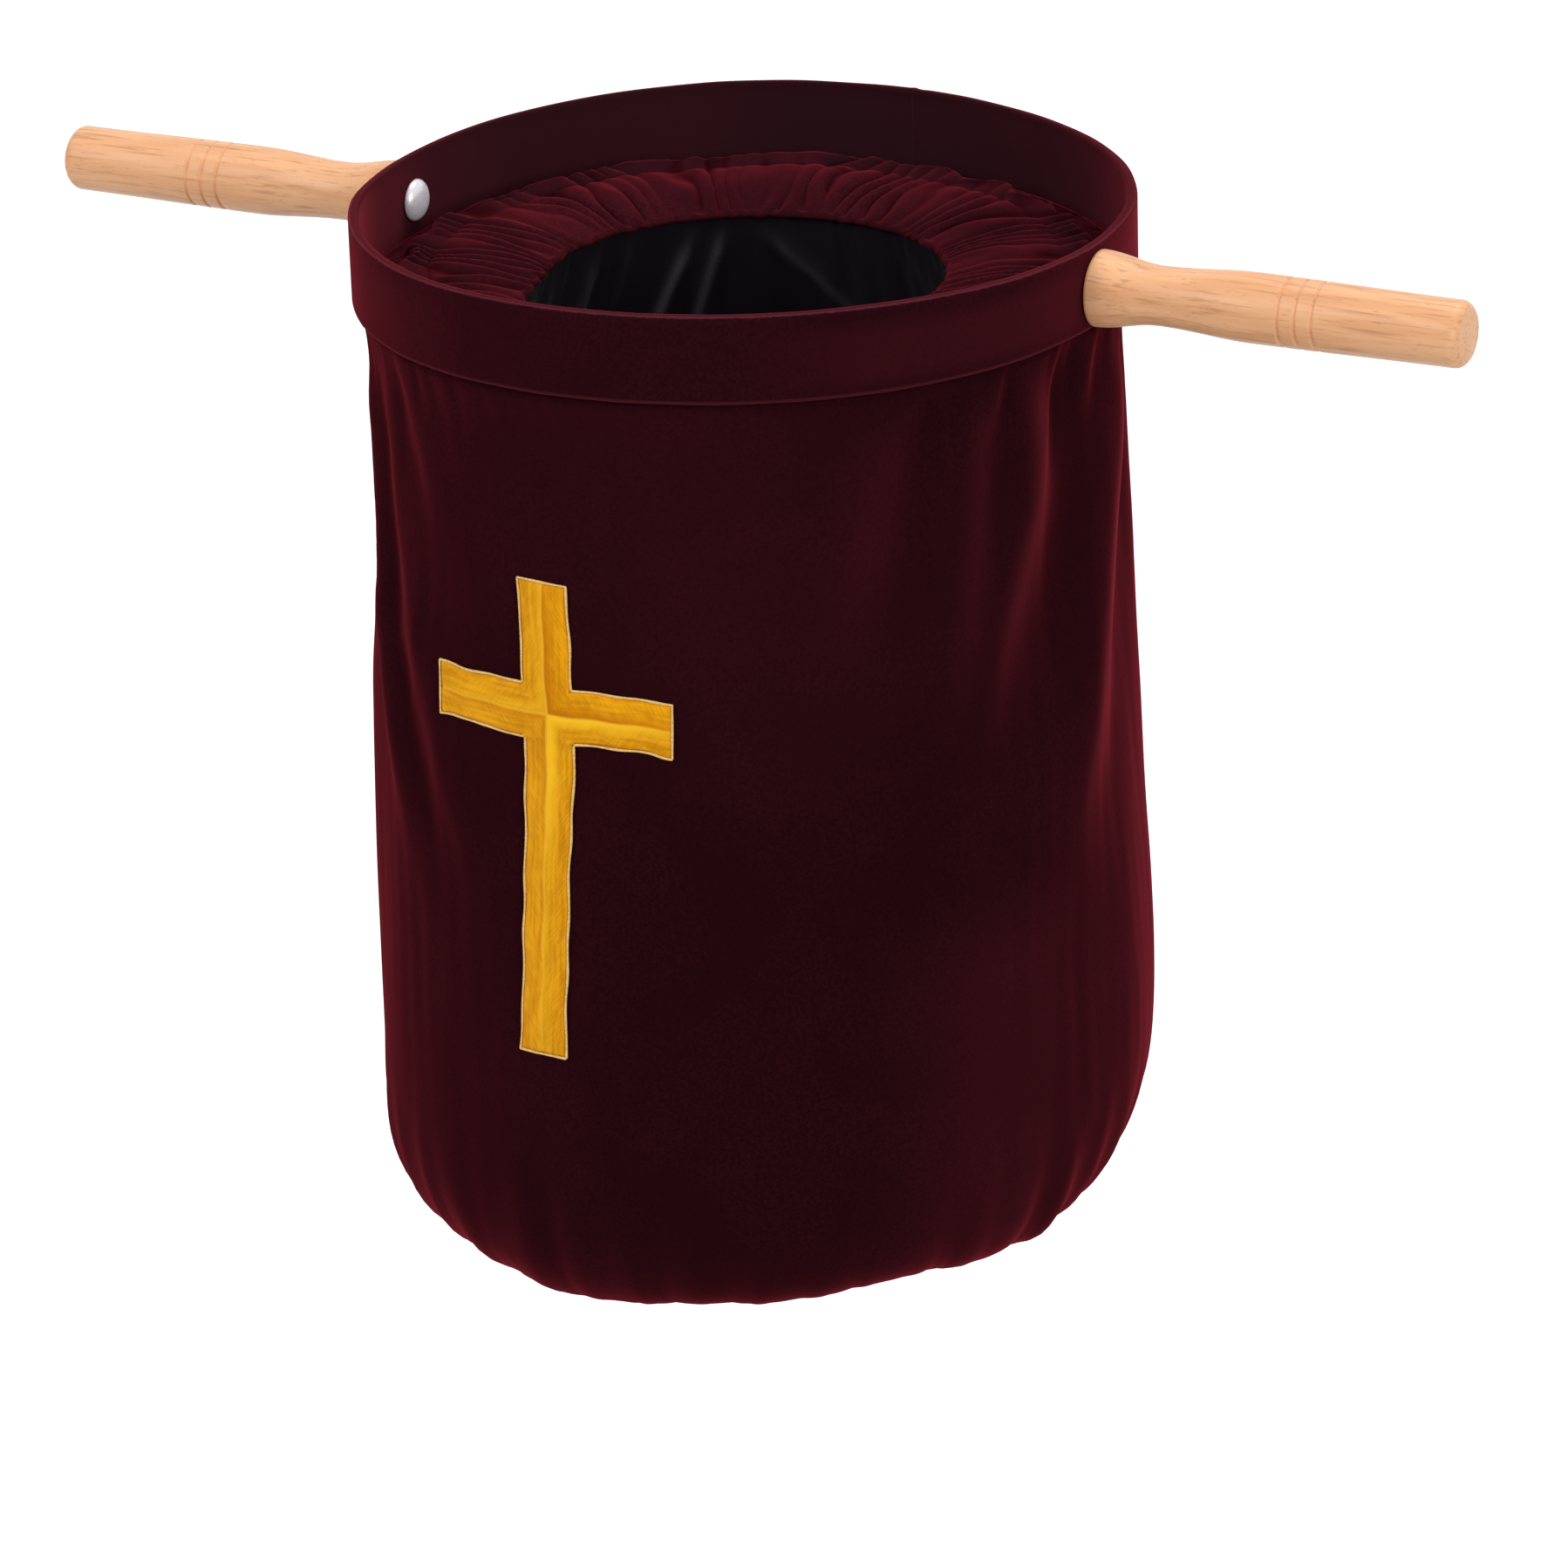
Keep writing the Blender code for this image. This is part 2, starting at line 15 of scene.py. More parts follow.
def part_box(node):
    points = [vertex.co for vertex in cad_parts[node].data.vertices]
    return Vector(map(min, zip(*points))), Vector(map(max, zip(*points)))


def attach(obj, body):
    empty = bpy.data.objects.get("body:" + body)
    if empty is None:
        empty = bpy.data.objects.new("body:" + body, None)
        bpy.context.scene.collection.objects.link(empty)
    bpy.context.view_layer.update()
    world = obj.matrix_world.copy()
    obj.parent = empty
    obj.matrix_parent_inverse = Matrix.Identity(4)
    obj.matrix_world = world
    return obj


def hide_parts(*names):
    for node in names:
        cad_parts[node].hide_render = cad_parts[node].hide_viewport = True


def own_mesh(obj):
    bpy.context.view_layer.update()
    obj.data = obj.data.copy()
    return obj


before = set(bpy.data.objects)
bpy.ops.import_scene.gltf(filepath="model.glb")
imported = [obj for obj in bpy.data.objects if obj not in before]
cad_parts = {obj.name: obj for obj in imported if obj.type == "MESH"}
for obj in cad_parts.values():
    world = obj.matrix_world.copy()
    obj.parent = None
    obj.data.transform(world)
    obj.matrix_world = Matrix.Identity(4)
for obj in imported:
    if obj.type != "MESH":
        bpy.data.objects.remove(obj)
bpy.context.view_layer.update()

TURN = 2 * math.pi
MM = 0.001

# Camera, fitted to the photograph
PHOTO_SIDE = 1798
FOCAL_PIXELS = 9110.263
CAMERA_DISTANCE = 2.441
CAMERA_ELEVATION = math.radians(21.636)
CAMERA_AZIMUTH = math.radians(27.694)
CAMERA_ROLL = math.radians(-1.781)
HOOP_PIXEL = (852.93, 277.58)  # where the photograph shows the hoop's centre
SENSOR_WIDTH = 36.0

# Stage and light
FLOOR_Z = -0.75
FLOOR_HALF = 9.0
FLOOR_GLOW = 0.75
WORLD_LIGHT = 0.48
LAMPS = (  # name, place, size and power
    ("key", (-1.3, -2.0, 1.5), 1.2, 28.0),
    ("fill", (2.2, -1.2, 0.8), 1.2, 25.0),
    ("top", (0.3, 0.6, 2.0), 1.4, 22.0),
)
LAMP_TARGET = Vector((0.0, 0.0, -0.12))

# Sizes taken from the frame
HOOP_LOW, HOOP_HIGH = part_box("hoop_cover")
BAND_LOW, BAND_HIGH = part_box("hoop_band")
WALL_LOW, WALL_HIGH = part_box("bag_wall")
BASE_LOW, BASE_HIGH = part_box("bag_base")
LINING_LOW, LINING_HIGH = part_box("lining_wall")
HANDLE_LOW, HANDLE_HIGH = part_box("handle_right")
HOOP_RADIUS = HOOP_HIGH.x
HOOP_TOP = HOOP_HIGH.z
HOOP_BOTTOM = HOOP_LOW.z
BAND_RADIUS = BAND_HIGH.x
BAND_TOP = BAND_HIGH.z
BAND_BOTTOM = BAND_LOW.z
WALL_TOP = WALL_HIGH.z
WALL_FULL_RADIUS = WALL_HIGH.x
BAG_BOTTOM = WALL_LOW.z
BASE_RADIUS = BASE_HIGH.x
FUNNEL_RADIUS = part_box("funnel")[1].x
LINING_TOP = LINING_HIGH.z
LINING_BOTTOM = LINING_LOW.z
LINING_RADIUS = LINING_HIGH.x
PATCH_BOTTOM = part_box("lining_bottom")[0].z
HANDLE_LENGTH = HANDLE_HIGH.x - HANDLE_LOW.x

# Cloth
VELVET = 0.0008
SATIN = 0.0006
CLOTH_GAP = 0.0003
CENTRE_RING = 0.0004  # radius of the small face in the middle of a round panel
PLEAT_STRAY = 1.98  # how far pleats stray from even spacing, in radians of one pleat

# Hoop
BAND_THICKNESS = 0.0012
BAND_SLACK = 0.0002  # between the band and its cover
HOOP_INNER = BAND_RADIUS - BAND_THICKNESS - CLOTH_GAP - VELVET
HOOP_FOLD = 0.0012  # rounding of the cover's top edges
HOOP_HEM = 0.0009  # rounding of its lower edge
HOOP_OUT = 0.0011  # how far it bows out between the handles
COVER_LOW = BAND_BOTTOM - BAND_SLACK - VELVET
HEM_POINTS, SIDE_POINTS, FOLD_POINTS = 6, 12, 8  # of the cover's profile

# The velvet wall's shape, as in the frame
WALL_DRAW_IN = 0.0031
WALL_DRAW_HEIGHT = 0.022
WALL_FLARE = 0.0078
WALL_FULL_Z = -0.240
WALL_CORNER_WIDTH = 0.034
WALL_CORNER_POWER = 3.0
WALL_WAIST_RADIUS = WALL_FULL_RADIUS - WALL_FLARE
WALL_TOP_RADIUS = WALL_WAIST_RADIUS + WALL_DRAW_IN
WALL_BOTTOM_RADIUS = WALL_FULL_RADIUS - WALL_CORNER_WIDTH
BACK_SEAM = math.radians(176)

# Funnel
RIDGE_RADIUS = 0.1045
RIDGE_Z = HOOP_TOP - 0.0194
LIP_DROP = 0.0057  # from the ridge down to the throat's lip
LIP_RADIUS = 0.0015
THROAT_RADIUS = 0.063
THROAT_BOTTOM = LINING_TOP + CLOTH_GAP
STITCH_RADIUS = 0.097
STITCH_DEPTH = 0.0008  # of the stitched valley below the straight slope
FUNNEL_PUFF = 0.0018
OUTER_RISE = 0.0016  # from the stitched line up to the ruffle's crest
RUFFLE_FOLD = 0.0014
SEAM_Z = HOOP_BOTTOM + 0.0008
PLEATS = 74
STITCHES = 168

# Satin pouch
PATCH_RADIUS = 0.0605
PATCH_RISE = 0.0150
LINING_CORNER = 0.080  # height of the pouch's rounded lower corner
GORE_SEAMS = [math.radians(a) for a in (12, 135, 248)]

# Handles and bolts
HANDLE_FLARE = 0.0118
HANDLE_NECK = 0.0091
NECK_AT = 0.021
HANDLE_BELLY = 0.0107
BELLY_AT = 0.052
HANDLE_END = 0.0102
HANDLE_END_ROUND = 0.0035
GROOVES = (0.0625, 0.0680, 0.0735)
GROOVE_WIDTH = 0.0011
GROOVE_DEPTH = 0.0006
BORE_RADIUS = 0.0045
BORE_DEPTH = 0.019
BOLT_HEAD_HEIGHT = 0.0033
SHANK_RADIUS = 0.0025

# Cross, across and up from where its bars' middle lines meet
CROSS_AZIMUTH = math.radians(-6.0)
CROSS_ARM_Z = -0.1155
CROSS_TOP = -0.0740 - CROSS_ARM_Z
CROSS_BOTTOM = CROSS_TOP - 0.151
CROSS_HALF_SPAN = 0.044
CROSS_HALF_BAR = 0.009
UPRIGHT_SHIFT = 0.0036  # how far the upright has strayed sideways at the crossing
LEFT_END_CUT = (0.0035, 0.0006)  # how much shorter the left arm is, and how aslant its end
RIGHT_END_CUT = 0.0006
RIDGE_HEIGHT = 0.0010

# Colours
PAINTED_SHEEN_TONE = (0.115, 0.0125, 0.0190)  # painted sheen highlight on the velvet pile
# painted shade and a painted pink highlight for the hoop's edges
PAINTED_EDGE_SHADE = (0.0120, 0.0050, 0.0062)
PAINTED_EDGE_HIGHLIGHT = (0.150, 0.032, 0.046)
# painted highlight on the cross's ridges, and painted highlight and shade beside them
PAINTED_RIDGE_HIGHLIGHT = (0.95, 0.52, 0.040)
PAINTED_GOLD_HIGHLIGHT = (1.00, 0.54, 0.018)
PAINTED_GOLD_SHADE = (0.54, 0.165, 0.002)

# How far the slightly bent hoop's edges lie above a true ring's, by azimuth
TOP_RISE = (
    (-180, 1.1), (-152, 1.4), (-135, 0.8), (-118, 0.1), (-90, -0.4), (-60, -0.2), (-29, 0.0),
    (-7, 1.0), (27, 1.4), (52, 1.2), (75, 0.2), (90, -0.7), (110, -0.2), (130, 0.3), (157, 0.4),
    (180, 1.1),
)
LOW_RISE = (
    (-180, 0.3), (-90, 0.0), (-50, 0.2), (-29, 0.4), (-7, 1.2), (27, 1.7), (52, 1.9), (75, 2.0),
    (100, 1.0), (130, 0.4), (180, 0.3),
)

# How much lower than the plain shape the bag's lower edge hangs, by azimuth
HANG = (
    (-180, 0.5), (-120, 1.0), (-62, 3.2), (-46, 6.0), (-33, 5.0), (-18, 7.2), (-4, 7.0),
    (12, 4.1), (30, 2.7), (42, 0.5), (52, -0.4), (64, 1.8), (76, 2.6), (92, 1.0), (110, 0.0),
    (180, 0.5),
)

# How far the wall's sides stand out of the plain shape, by height, at two azimuths
LEFT_OUT = (
    (-12, 0.0), (-25, 1.1), (-40, 0.6), (-50, -0.4), (-59, -0.8), (-70, -1.2), (-82, -1.5),
    (-95, -1.0), (-106, 0.7), (-117, 0.8), (-130, 1.2), (-150, 0.9), (-190, 0.2), (-234, 0.2),
    (-257, 0.7), (-283, 2.2), (-310, 1.4),
)
RIGHT_OUT = (
    (-12, 0.0), (-28, -0.4), (-56, -0.4), (-80, -0.7), (-100, -0.5), (-130, 0.1), (-180, -0.1),
    (-210, 0.8), (-235, 1.35), (-250, 1.15), (-272, -0.25), (-290, -2.8), (-300, -3.9),
    (-310, -2.8),
)
WALL_SIDES = ((math.radians(-62), LEFT_OUT), (math.radians(118), RIGHT_OUT))

# How far the soft throat's lip lies outside a true circle, by azimuth
LIP_OUT = (
    (-180, 0.0), (-110, 0.0), (-78, 0.0), (-68, 0.4), (-60, 2.6), (-52, 5.8), (-44, 7.6),
    (-34, 7.8), (-20, 5.6), (0, 2.2), (20, 0.4), (50, 0.0), (88, -1.0), (115, -0.2), (150, 0.0),
    (180, 0.0),
)

# The lines of folds' crests down the wall: azimuth and height
LEFT_MAIN = (
    (-43, -24), (-42.4, -47), (-41.6, -66), (-39, -84), (-34.6, -104), (-30, -124), (-25, -149),
    (-21, -169), (-16, -210),
)
LEFT_SHORT = ((-36, -16), (-32, -40), (-27, -75))
FRONT_SOFT = ((49, -18), (46, -46), (39, -110))
RIGHT_SOFT = ((63, -16), (60, -66), (53, -142))
RIGHT_MAIN = (
    (72, -14), (72.6, -42), (72, -58), (68.8, -77), (65.2, -97), (62.8, -118), (60, -150),
)
RIGHT_TUCK = ((81, -13), (79.5, -28), (77.5, -42), (75.5, -60))
RIGHT_EDGE = (
    (103, -16), (101, -50), (97, -74), (93.5, -94), (90, -114), (87, -134), (83, -160),
    (81, -205),
)

# Each fold of the wall: its height and width, the side on which its valley lies, the height of
# the bank beyond the valley as a share of its own, and its line
WALL_FOLDS = (
    (1.5, 7.0, -1, 2.1, LEFT_MAIN),
    (0.8, 5.0, -1, 0.0, LEFT_SHORT),
    (4.4, 13.0, 1, 0.1, RIGHT_MAIN),
    (4.4, 12.5, 1, 0.0, RIGHT_EDGE),
    (1.2, 3.6, 1, 0.0, RIGHT_TUCK),
    (0.9, 3.4, 1, 0.0, ((67, -13), (66, -22), (62, -40))),
    (1.3, 3.6, 1, 0.0, ((92, -13), (91, -24), (89, -46))),
    (1.6, 9.0, 1, 0.0, FRONT_SOFT),
    (2.0, 8.5, 1, 0.0, RIGHT_SOFT),
    (2.2, 7.0, 1, 0.0, ((122, -14), (119, -60), (113, -140))),
    (2.0, 8.0, 1, 0.0, ((138, -14), (145, -60), (160, -150))),
    (1.5, 6.0, 1, 0.0, ((152, -14), (160, -50), (168, -90))),
    (2.2, 6.5, -1, 0.0, ((-80, -14), (-77, -60), (-72, -130))),
    (2.0, 6.0, -1, 0.0, ((-98, -14), (-96, -60), (-92, -130))),
    (2.4, 7.5, -1, 0.0, ((-112, -14), (-117, -80), (-124, -175))),
    (2.0, 7.0, -1, 0.0, ((-128, -14), (-138, -70), (-150, -140))),
    (1.4, 6.0, -1, 0.0, ((-142, -14), (-152, -40), (-165, -80))),
)

# Where a sheen highlight is painted onto the pile: how much, half the width, how far beside a line,
# and the line
PAINTED_SHEEN_LINES = (
    (0.40, 5.0, 6.5, RIGHT_MAIN),
    (0.90, 3.8, 2.5, RIGHT_EDGE),
    (0.14, 5.0, 4.0, RIGHT_SOFT),
    (0.22, 2.2, 1.0, RIGHT_TUCK),
    (0.10, 9.0, 2.0, FRONT_SOFT),
    (0.22, 3.0, -2.0, LEFT_MAIN),
    (0.07, 70.0, 0.0, ((12, 10), (24, -60), (34, -190))),
    (0.15, 32.0, 0.0, ((66, -170), (64, -280), (60, -400))),
    (0.12, 3.0, -1.5, LEFT_SHORT),
)

# Folds of the satin that stand inwards: height, width and line
LINING_FOLDS = (
    (3.9, 3.4, ((-139, -13), (-135, -24), (-128, -44), (-120, -75), (-112, -120))),
    (3.2, 2.9, ((-147, -13), (-144, -26), (-139, -45), (-132, -90))),
    (2.0, 4.5, ((-108, -13), (-104, -28), (-98, -48), (-90, -100))),
    (2.2, 5.0, ((-157, -13), (-162, -22), (-172, -34), (-184, -52), (-196, -90))),
    (1.2, 3.0, ((-119, -13), (-117, -30), (-113, -60))),
    (1.4, 4.0, ((155, -13), (152, -40), (146, -100))),
    (1.2, 3.5, ((128, -13), (126, -40), (122, -90))),
    (2.0, 6.0, ((60, -13), (64, -60), (72, -120))),
    (2.0, 6.0, ((10, -13), (6, -60), (0, -120))),
    (2.0, 6.0, ((-40, -13), (-44, -60), (-52, -120))),
)

# The cross's bars: the place along the bar, its middle line there and its half width
UPRIGHT = (
    (-74.0, 0.3, 8.8), (-80.0, 1.0, 8.6), (-90.0, 1.4, 8.9), (-98.0, 1.9, 8.8),
    (-115.0, 3.3, 8.6), (-130.0, 3.6, 8.6), (-138.0, 3.2, 8.5), (-149.0, 3.0, 8.1),
    (-160.0, 2.3, 7.8), (-174.0, 1.8, 7.8), (-189.0, 1.2, 7.8), (-202.0, 0.6, 7.6),
    (-216.5, -0.4, 7.8), (-225.0, -0.8, 8.2),
)
ARMS = (
    (-44.0, -115.9, 8.3), (-33.0, -115.1, 7.8), (-26.6, -114.9, 7.7), (-20.7, -115.0, 8.1),
    (-15.0, -115.1, 8.3), (-9.6, -114.8, 8.3), (4.3, -114.6, 8.2), (15.0, -114.1, 8.2),
    (24.1, -114.2, 8.1), (33.0, -114.3, 8.0), (37.2, -114.9, 8.0), (41.5, -115.6, 8.3),
    (44.5, -115.7, 8.4),
)


# Curves and waves


def ramp(start, end, value):
    """A smooth rise from 0 at start to 1 at end; start may lie above end."""
    t = np.clip((np.asarray(value, float) - start) / (end - start), 0.0, 1.0)
    return t * t * (3 - 2 * t)


def bell(distance, width):
    """1 at no distance, and next to nothing beyond two widths."""
    return np.exp(-((distance / width) ** 2))


def turn_gap(azimuth, centre):
    """The signed way round from a centre to an azimuth, at most half a turn."""
    return (np.asarray(azimuth) - centre + math.pi) % TURN - math.pi


def azimuths(count):
    """A row of even azimuths round the whole ring."""
    return (np.arange(count) * TURN / count - math.pi)[None, :]


def ring_waves(azimuth, lowest, highest, seed, along=0.0, drift=1.0):
    """Seeded noise round a ring, about 1 high, whose waves drift sideways with along."""
    draw = np.random.default_rng(seed)
    total = np.zeros(np.broadcast(azimuth, along).shape)
    numbers = range(lowest, highest + 1)
    for number in numbers:
        phase, size, slip = draw.uniform(0, TURN), draw.uniform(0.5, 1.0), draw.normal(0, drift)
        total += size * np.sin(number * azimuth + phase + slip * along)
    return total / math.sqrt(0.3 * len(numbers))


def pleats(azimuth, number, seed, sharpness=0.7, along=0.0):
    """Irregular pleats round a ring: round ridges at 1, narrow valleys at about -1."""
    strays = ring_waves(azimuth, 2, number // 3, seed, along)
    phase = number * np.asarray(azimuth) + PLEAT_STRAY * strays
    ridge = np.sqrt(np.cos(phase / 2) ** 2 + 0.004) ** sharpness
    height = 0.72 + 0.28 * np.tanh(ring_waves(azimuth, 3, number // 2, seed + 1, along))
    return (2 * ridge - 1) * height


def smooth_curve(points, at):
    """A smooth curve through points of place and value, read at other places."""
    places, values = np.array(sorted(points), float).T
    slopes = np.gradient(values, places)
    at = np.clip(at, places[0], places[-1])
    index = np.clip(np.searchsorted(places, at) - 1, 0, len(places) - 2)
    width = places[index + 1] - places[index]
    t = (at - places[index]) / width
    curve = (2 * t**3 - 3 * t**2 + 1) * values[index]
    curve = curve + (t**3 - 2 * t**2 + t) * width * slopes[index]
    curve = curve + (3 * t**2 - 2 * t**3) * values[index + 1]
    return curve + (t**3 - t**2) * width * slopes[index + 1]


def round_curve(table, azimuth):
    """A table by azimuth, read at other azimuths."""
    return smooth_curve(table, np.degrees(turn_gap(azimuth, 0.0)))


def down_line(line, z):
    """Heights as shares of the way down a fold's line, and the line's azimuths there."""
    share = (z * 1000 - line[0][1]) / (line[-1][1] - line[0][1])
    middle = smooth_curve([(height, degrees) for degrees, height in line], z * 1000)
    return share, np.radians(middle)


def quarter_wave(start, end, share):
    """Values that ease from start to end as share goes from 0 to 1."""
    return start + (end - start) * (1 - np.cos(math.pi * share)) / 2


def rounded_corner(centre, radius, start, end, count):
    """Points of a rounded corner of a profile, in degrees from outwards."""
    angles = np.radians(np.linspace(start, end, count))
    return [(centre[0] + radius * math.cos(a), centre[1] + radius * math.sin(a)) for a in angles]


def profile_normals(radius, height):
    """Unit normals of a profile, as columns."""
    step_r = np.gradient(radius, axis=0)
    step_z = np.gradient(height, axis=0)
    length = np.hypot(step_r, step_z)
    return -step_z / length, step_r / length


def even_path(radius, height, steps):
    """Columns of a profile's points at shares of its length."""
    length = np.concatenate([[0], np.cumsum(np.hypot(np.diff(radius), np.diff(height)))])
    at = steps * length[-1]
    return np.interp(at, length, radius)[:, None], np.interp(at, length, height)[:, None]


def panel_rings(start, end, count):
    """A column of the radii of a round panel's rings."""
    return np.concatenate([[CENTRE_RING], np.linspace(start, end, count)])[:, None]


def turned_points(radius, height, azimuth):
    """Points of a surface turned about Z."""
    x, y = radius * np.sin(azimuth), -radius * np.cos(azimuth)
    return np.stack(np.broadcast_arrays(x, y, height), axis=-1)


# Meshes


def new_object(name, data):
    """A new object in the scene."""
    obj = bpy.data.objects.new(name, data)
    bpy.context.scene.collection.objects.link(obj)
    return obj


def grid_object(name, points, closed=(False, True), uv=None, flip=False, caps=()):
    """A mesh from a grid of points, rows by columns, or from several grids of one size.

    closed says whether the rows and the columns go all the way round; caps lists the end rows,
    0 or -1, whose ring is filled.
    """
    rows, columns = points.shape[-3:-1]
    index = np.arange(points.size // 3).reshape(-1, rows, columns)
    if closed[1]:
        index = np.concatenate([index, index[:, :, :1]], axis=2)
    if closed[0]:
        index = np.concatenate([index, index[:, :1]], axis=1)
    near, far = index[:, :-1], index[:, 1:]
    corners = [near[..., :-1], near[..., 1:], far[..., 1:], far[..., :-1]]
    if flip:
        corners.reverse()
    faces = np.stack(corners, axis=-1).reshape(-1, 4).tolist()
    for row in caps:
        rings = index[:, row, :columns]
        faces += (rings[:, ::-1] if (row == 0) != flip else rings).tolist()
    mesh = bpy.data.meshes.new(name)
    mesh.from_pydata(points.reshape(-1, 3).tolist(), [], faces)
    mesh.validate()
    if uv is not None:
        layer = mesh.uv_layers.new(name="UVMap")
        loops = np.zeros(len(mesh.loops), np.int32)
        mesh.loops.foreach_get("vertex_index", loops)
        layer.data.foreach_set("uv", uv.reshape(-1, 2)[loops].astype(np.float32).ravel())
    mesh.shade_smooth()
    return new_object(name, mesh)


def uv_grid(across, along):
    """A UV map for a grid of points, in metres."""
    return np.stack(np.broadcast_arrays(across, along), axis=-1)


def mark(obj, name, amount):
    """Stores an amount from 0 to 1 at each point, for the material to read."""
    layer = obj.data.attributes.new(name, "FLOAT", "POINT")
    layer.data.foreach_set("value", np.clip(amount, 0, 1).astype(np.float32).ravel())


def thicken(obj, thickness, offset=-1.0):
    """Gives a cloth its thickness, behind its faces by default."""
    solid = obj.modifiers.new("thickness", "SOLIDIFY")
    solid.thickness = thickness
    solid.offset = offset
    solid.use_even_offset = False
    bpy.context.view_layer.update()
    evaluated = obj.evaluated_get(bpy.context.evaluated_depsgraph_get())
    mesh = bpy.data.meshes.new_from_object(evaluated)
    mesh.name = obj.name
    obj.modifiers.clear()
    obj.data = mesh


def place(obj, materials, body, node):
    """Gives a piece its materials and body, and hides the CAD node that it stands for."""
    for mat in materials:
        obj.data.materials.append(mat)
    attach(obj, body)
    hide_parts(node)


def turned_piece(name, side, x, radius, around):
    """A solid turned about X; side is 1 for the right one and -1 for its mirror."""
    y, z = radius * np.sin(around) * side, radius * np.cos(around)
    points = np.stack(np.broadcast_arrays(side * x, y, z), axis=-1)
    return grid_object(name, points, caps=(0, -1))


def tube_points(path, radii, closed=False, sides=6):
    """Points of a tube along a path, with a radius at each."""
    ahead = np.roll(path, -1, axis=0) - path
    behind = path - np.roll(path, 1, axis=0)
    way = ahead + behind
    if not closed:
        way[0], way[-1] = ahead[0], behind[-1]
    way /= np.linalg.norm(way, axis=1)[:, None]
    up = np.zeros_like(way)
    up[:, 2] = 1.0
    up[np.abs(way[:, 2]) > 0.9] = (1.0, 0.0, 0.0)
    side = np.cross(way, up)
    side /= np.linalg.norm(side, axis=1)[:, None]
    top = np.cross(side, way)
    angles = np.arange(sides) * TURN / sides
    ring = side[:, None, :] * np.cos(angles)[None, :, None]
    ring = ring + top[:, None, :] * np.sin(angles)[None, :, None]
    return path[:, None, :] + ring * radii[:, None, None]


def remove_faces(mesh, marked):
    """Deletes the marked faces and what is left loose."""
    bm = bmesh.new()
    bm.from_mesh(mesh)
    bm.faces.ensure_lookup_table()
    doomed = [bm.faces[i] for i in np.flatnonzero(marked)]
    bmesh.ops.delete(bm, geom=doomed, context="FACES")
    bm.to_mesh(mesh)
    bm.free()


# Materials


class Wire:
    """A node's output, whose sums and products are Math nodes."""

    def __init__(self, socket):
        self.socket = socket
        self.tree = socket.id_data

    def math(self, operation, other=0.0):
        """This value and another put through a Math node."""
        return add_node(self.tree, "ShaderNodeMath", {0: self, 1: other}, operation=operation)

    def __add__(self, other):
        return self.math("ADD", other)

    def __sub__(self, other):
        return self.math("SUBTRACT", other)

    def __mul__(self, other):
        return self.math("MULTIPLY", other)

    def ranged(self, low, high, to_low=0.0, to_high=1.0):
        """This value mapped smoothly from one range to another."""
        ends = {0: self, 1: low, 2: high, 3: to_low, 4: to_high}
        return add_node(self.tree, "ShaderNodeMapRange", ends, interpolation_type="SMOOTHSTEP")

    def mapped(self, **settings):
        """This vector put through a Mapping node."""
        return add_node(self.tree, "ShaderNodeMapping", {"Vector": self, **settings})

    def noise(self, scale, detail=3.0, roughness=0.5, distortion=0.0):
        """A noise texture's value at this vector."""
        names = ("Vector", "Scale", "Detail", "Roughness", "Distortion")
        values = (self, scale, detail, roughness, distortion)
        return add_node(self.tree, "ShaderNodeTexNoise", dict(zip(names, values)))

    def mix(self, first, second):
        """A mix of two colours, with this as the second one's share."""
        inputs = {0: self, 6: first, 7: second}
        return add_node(self.tree, "ShaderNodeMix", inputs, 2, data_type="RGBA")

    def axes(self):
        """The first two coordinates of this vector."""
        return [add_node(self.tree, "ShaderNodeSeparateXYZ", {0: self}, axis) for axis in "XY"]


def fill(made, inputs):
    """Fills a node's inputs, by name or place, with values or wires."""
    for key, value in inputs.items():
        socket = made.inputs[key]
        if isinstance(value, Wire):
            made.id_data.links.new(value.socket, socket)
        elif socket.type == "RGBA":
            socket.default_value = (*value, 1.0)
        else:
            socket.default_value = value


def add_node(tree, kind, inputs=None, output=0, **settings):
    """Adds a node, and gives one of its outputs."""
    made = tree.nodes.new(kind)
    for key, value in settings.items():
        setattr(made, key, value)
    fill(made, inputs or {})
    return Wire(made.outputs[output])


def coordinates(tree, kind="Object"):
    """The place on the object, or on its UV map."""
    return add_node(tree, "ShaderNodeTexCoord", output=kind)


def attribute(tree, name):
    """An amount stored in the mesh."""
    return add_node(tree, "ShaderNodeAttribute", output="Fac", attribute_name=name)


def shaded(tone, share):
    """A share of a colour."""
    return tuple(share * c for c in tone)


def new_material(name):
    """A node material and its tree."""
    mat = bpy.data.materials.new(name)
    mat.use_nodes = True
    return mat, mat.node_tree


def finish(mat, tone, bump, inputs):
    """Sets a material's colour, its bump's height, strength and distance, and more."""
    tree = mat.node_tree
    bump_inputs = dict(zip(("Height", "Strength", "Distance"), bump))
    normal = add_node(tree, "ShaderNodeBump", bump_inputs)
    fill(tree.nodes["Principled BSDF"], {"Base Color": tone, "Normal": normal, **inputs})
    return mat


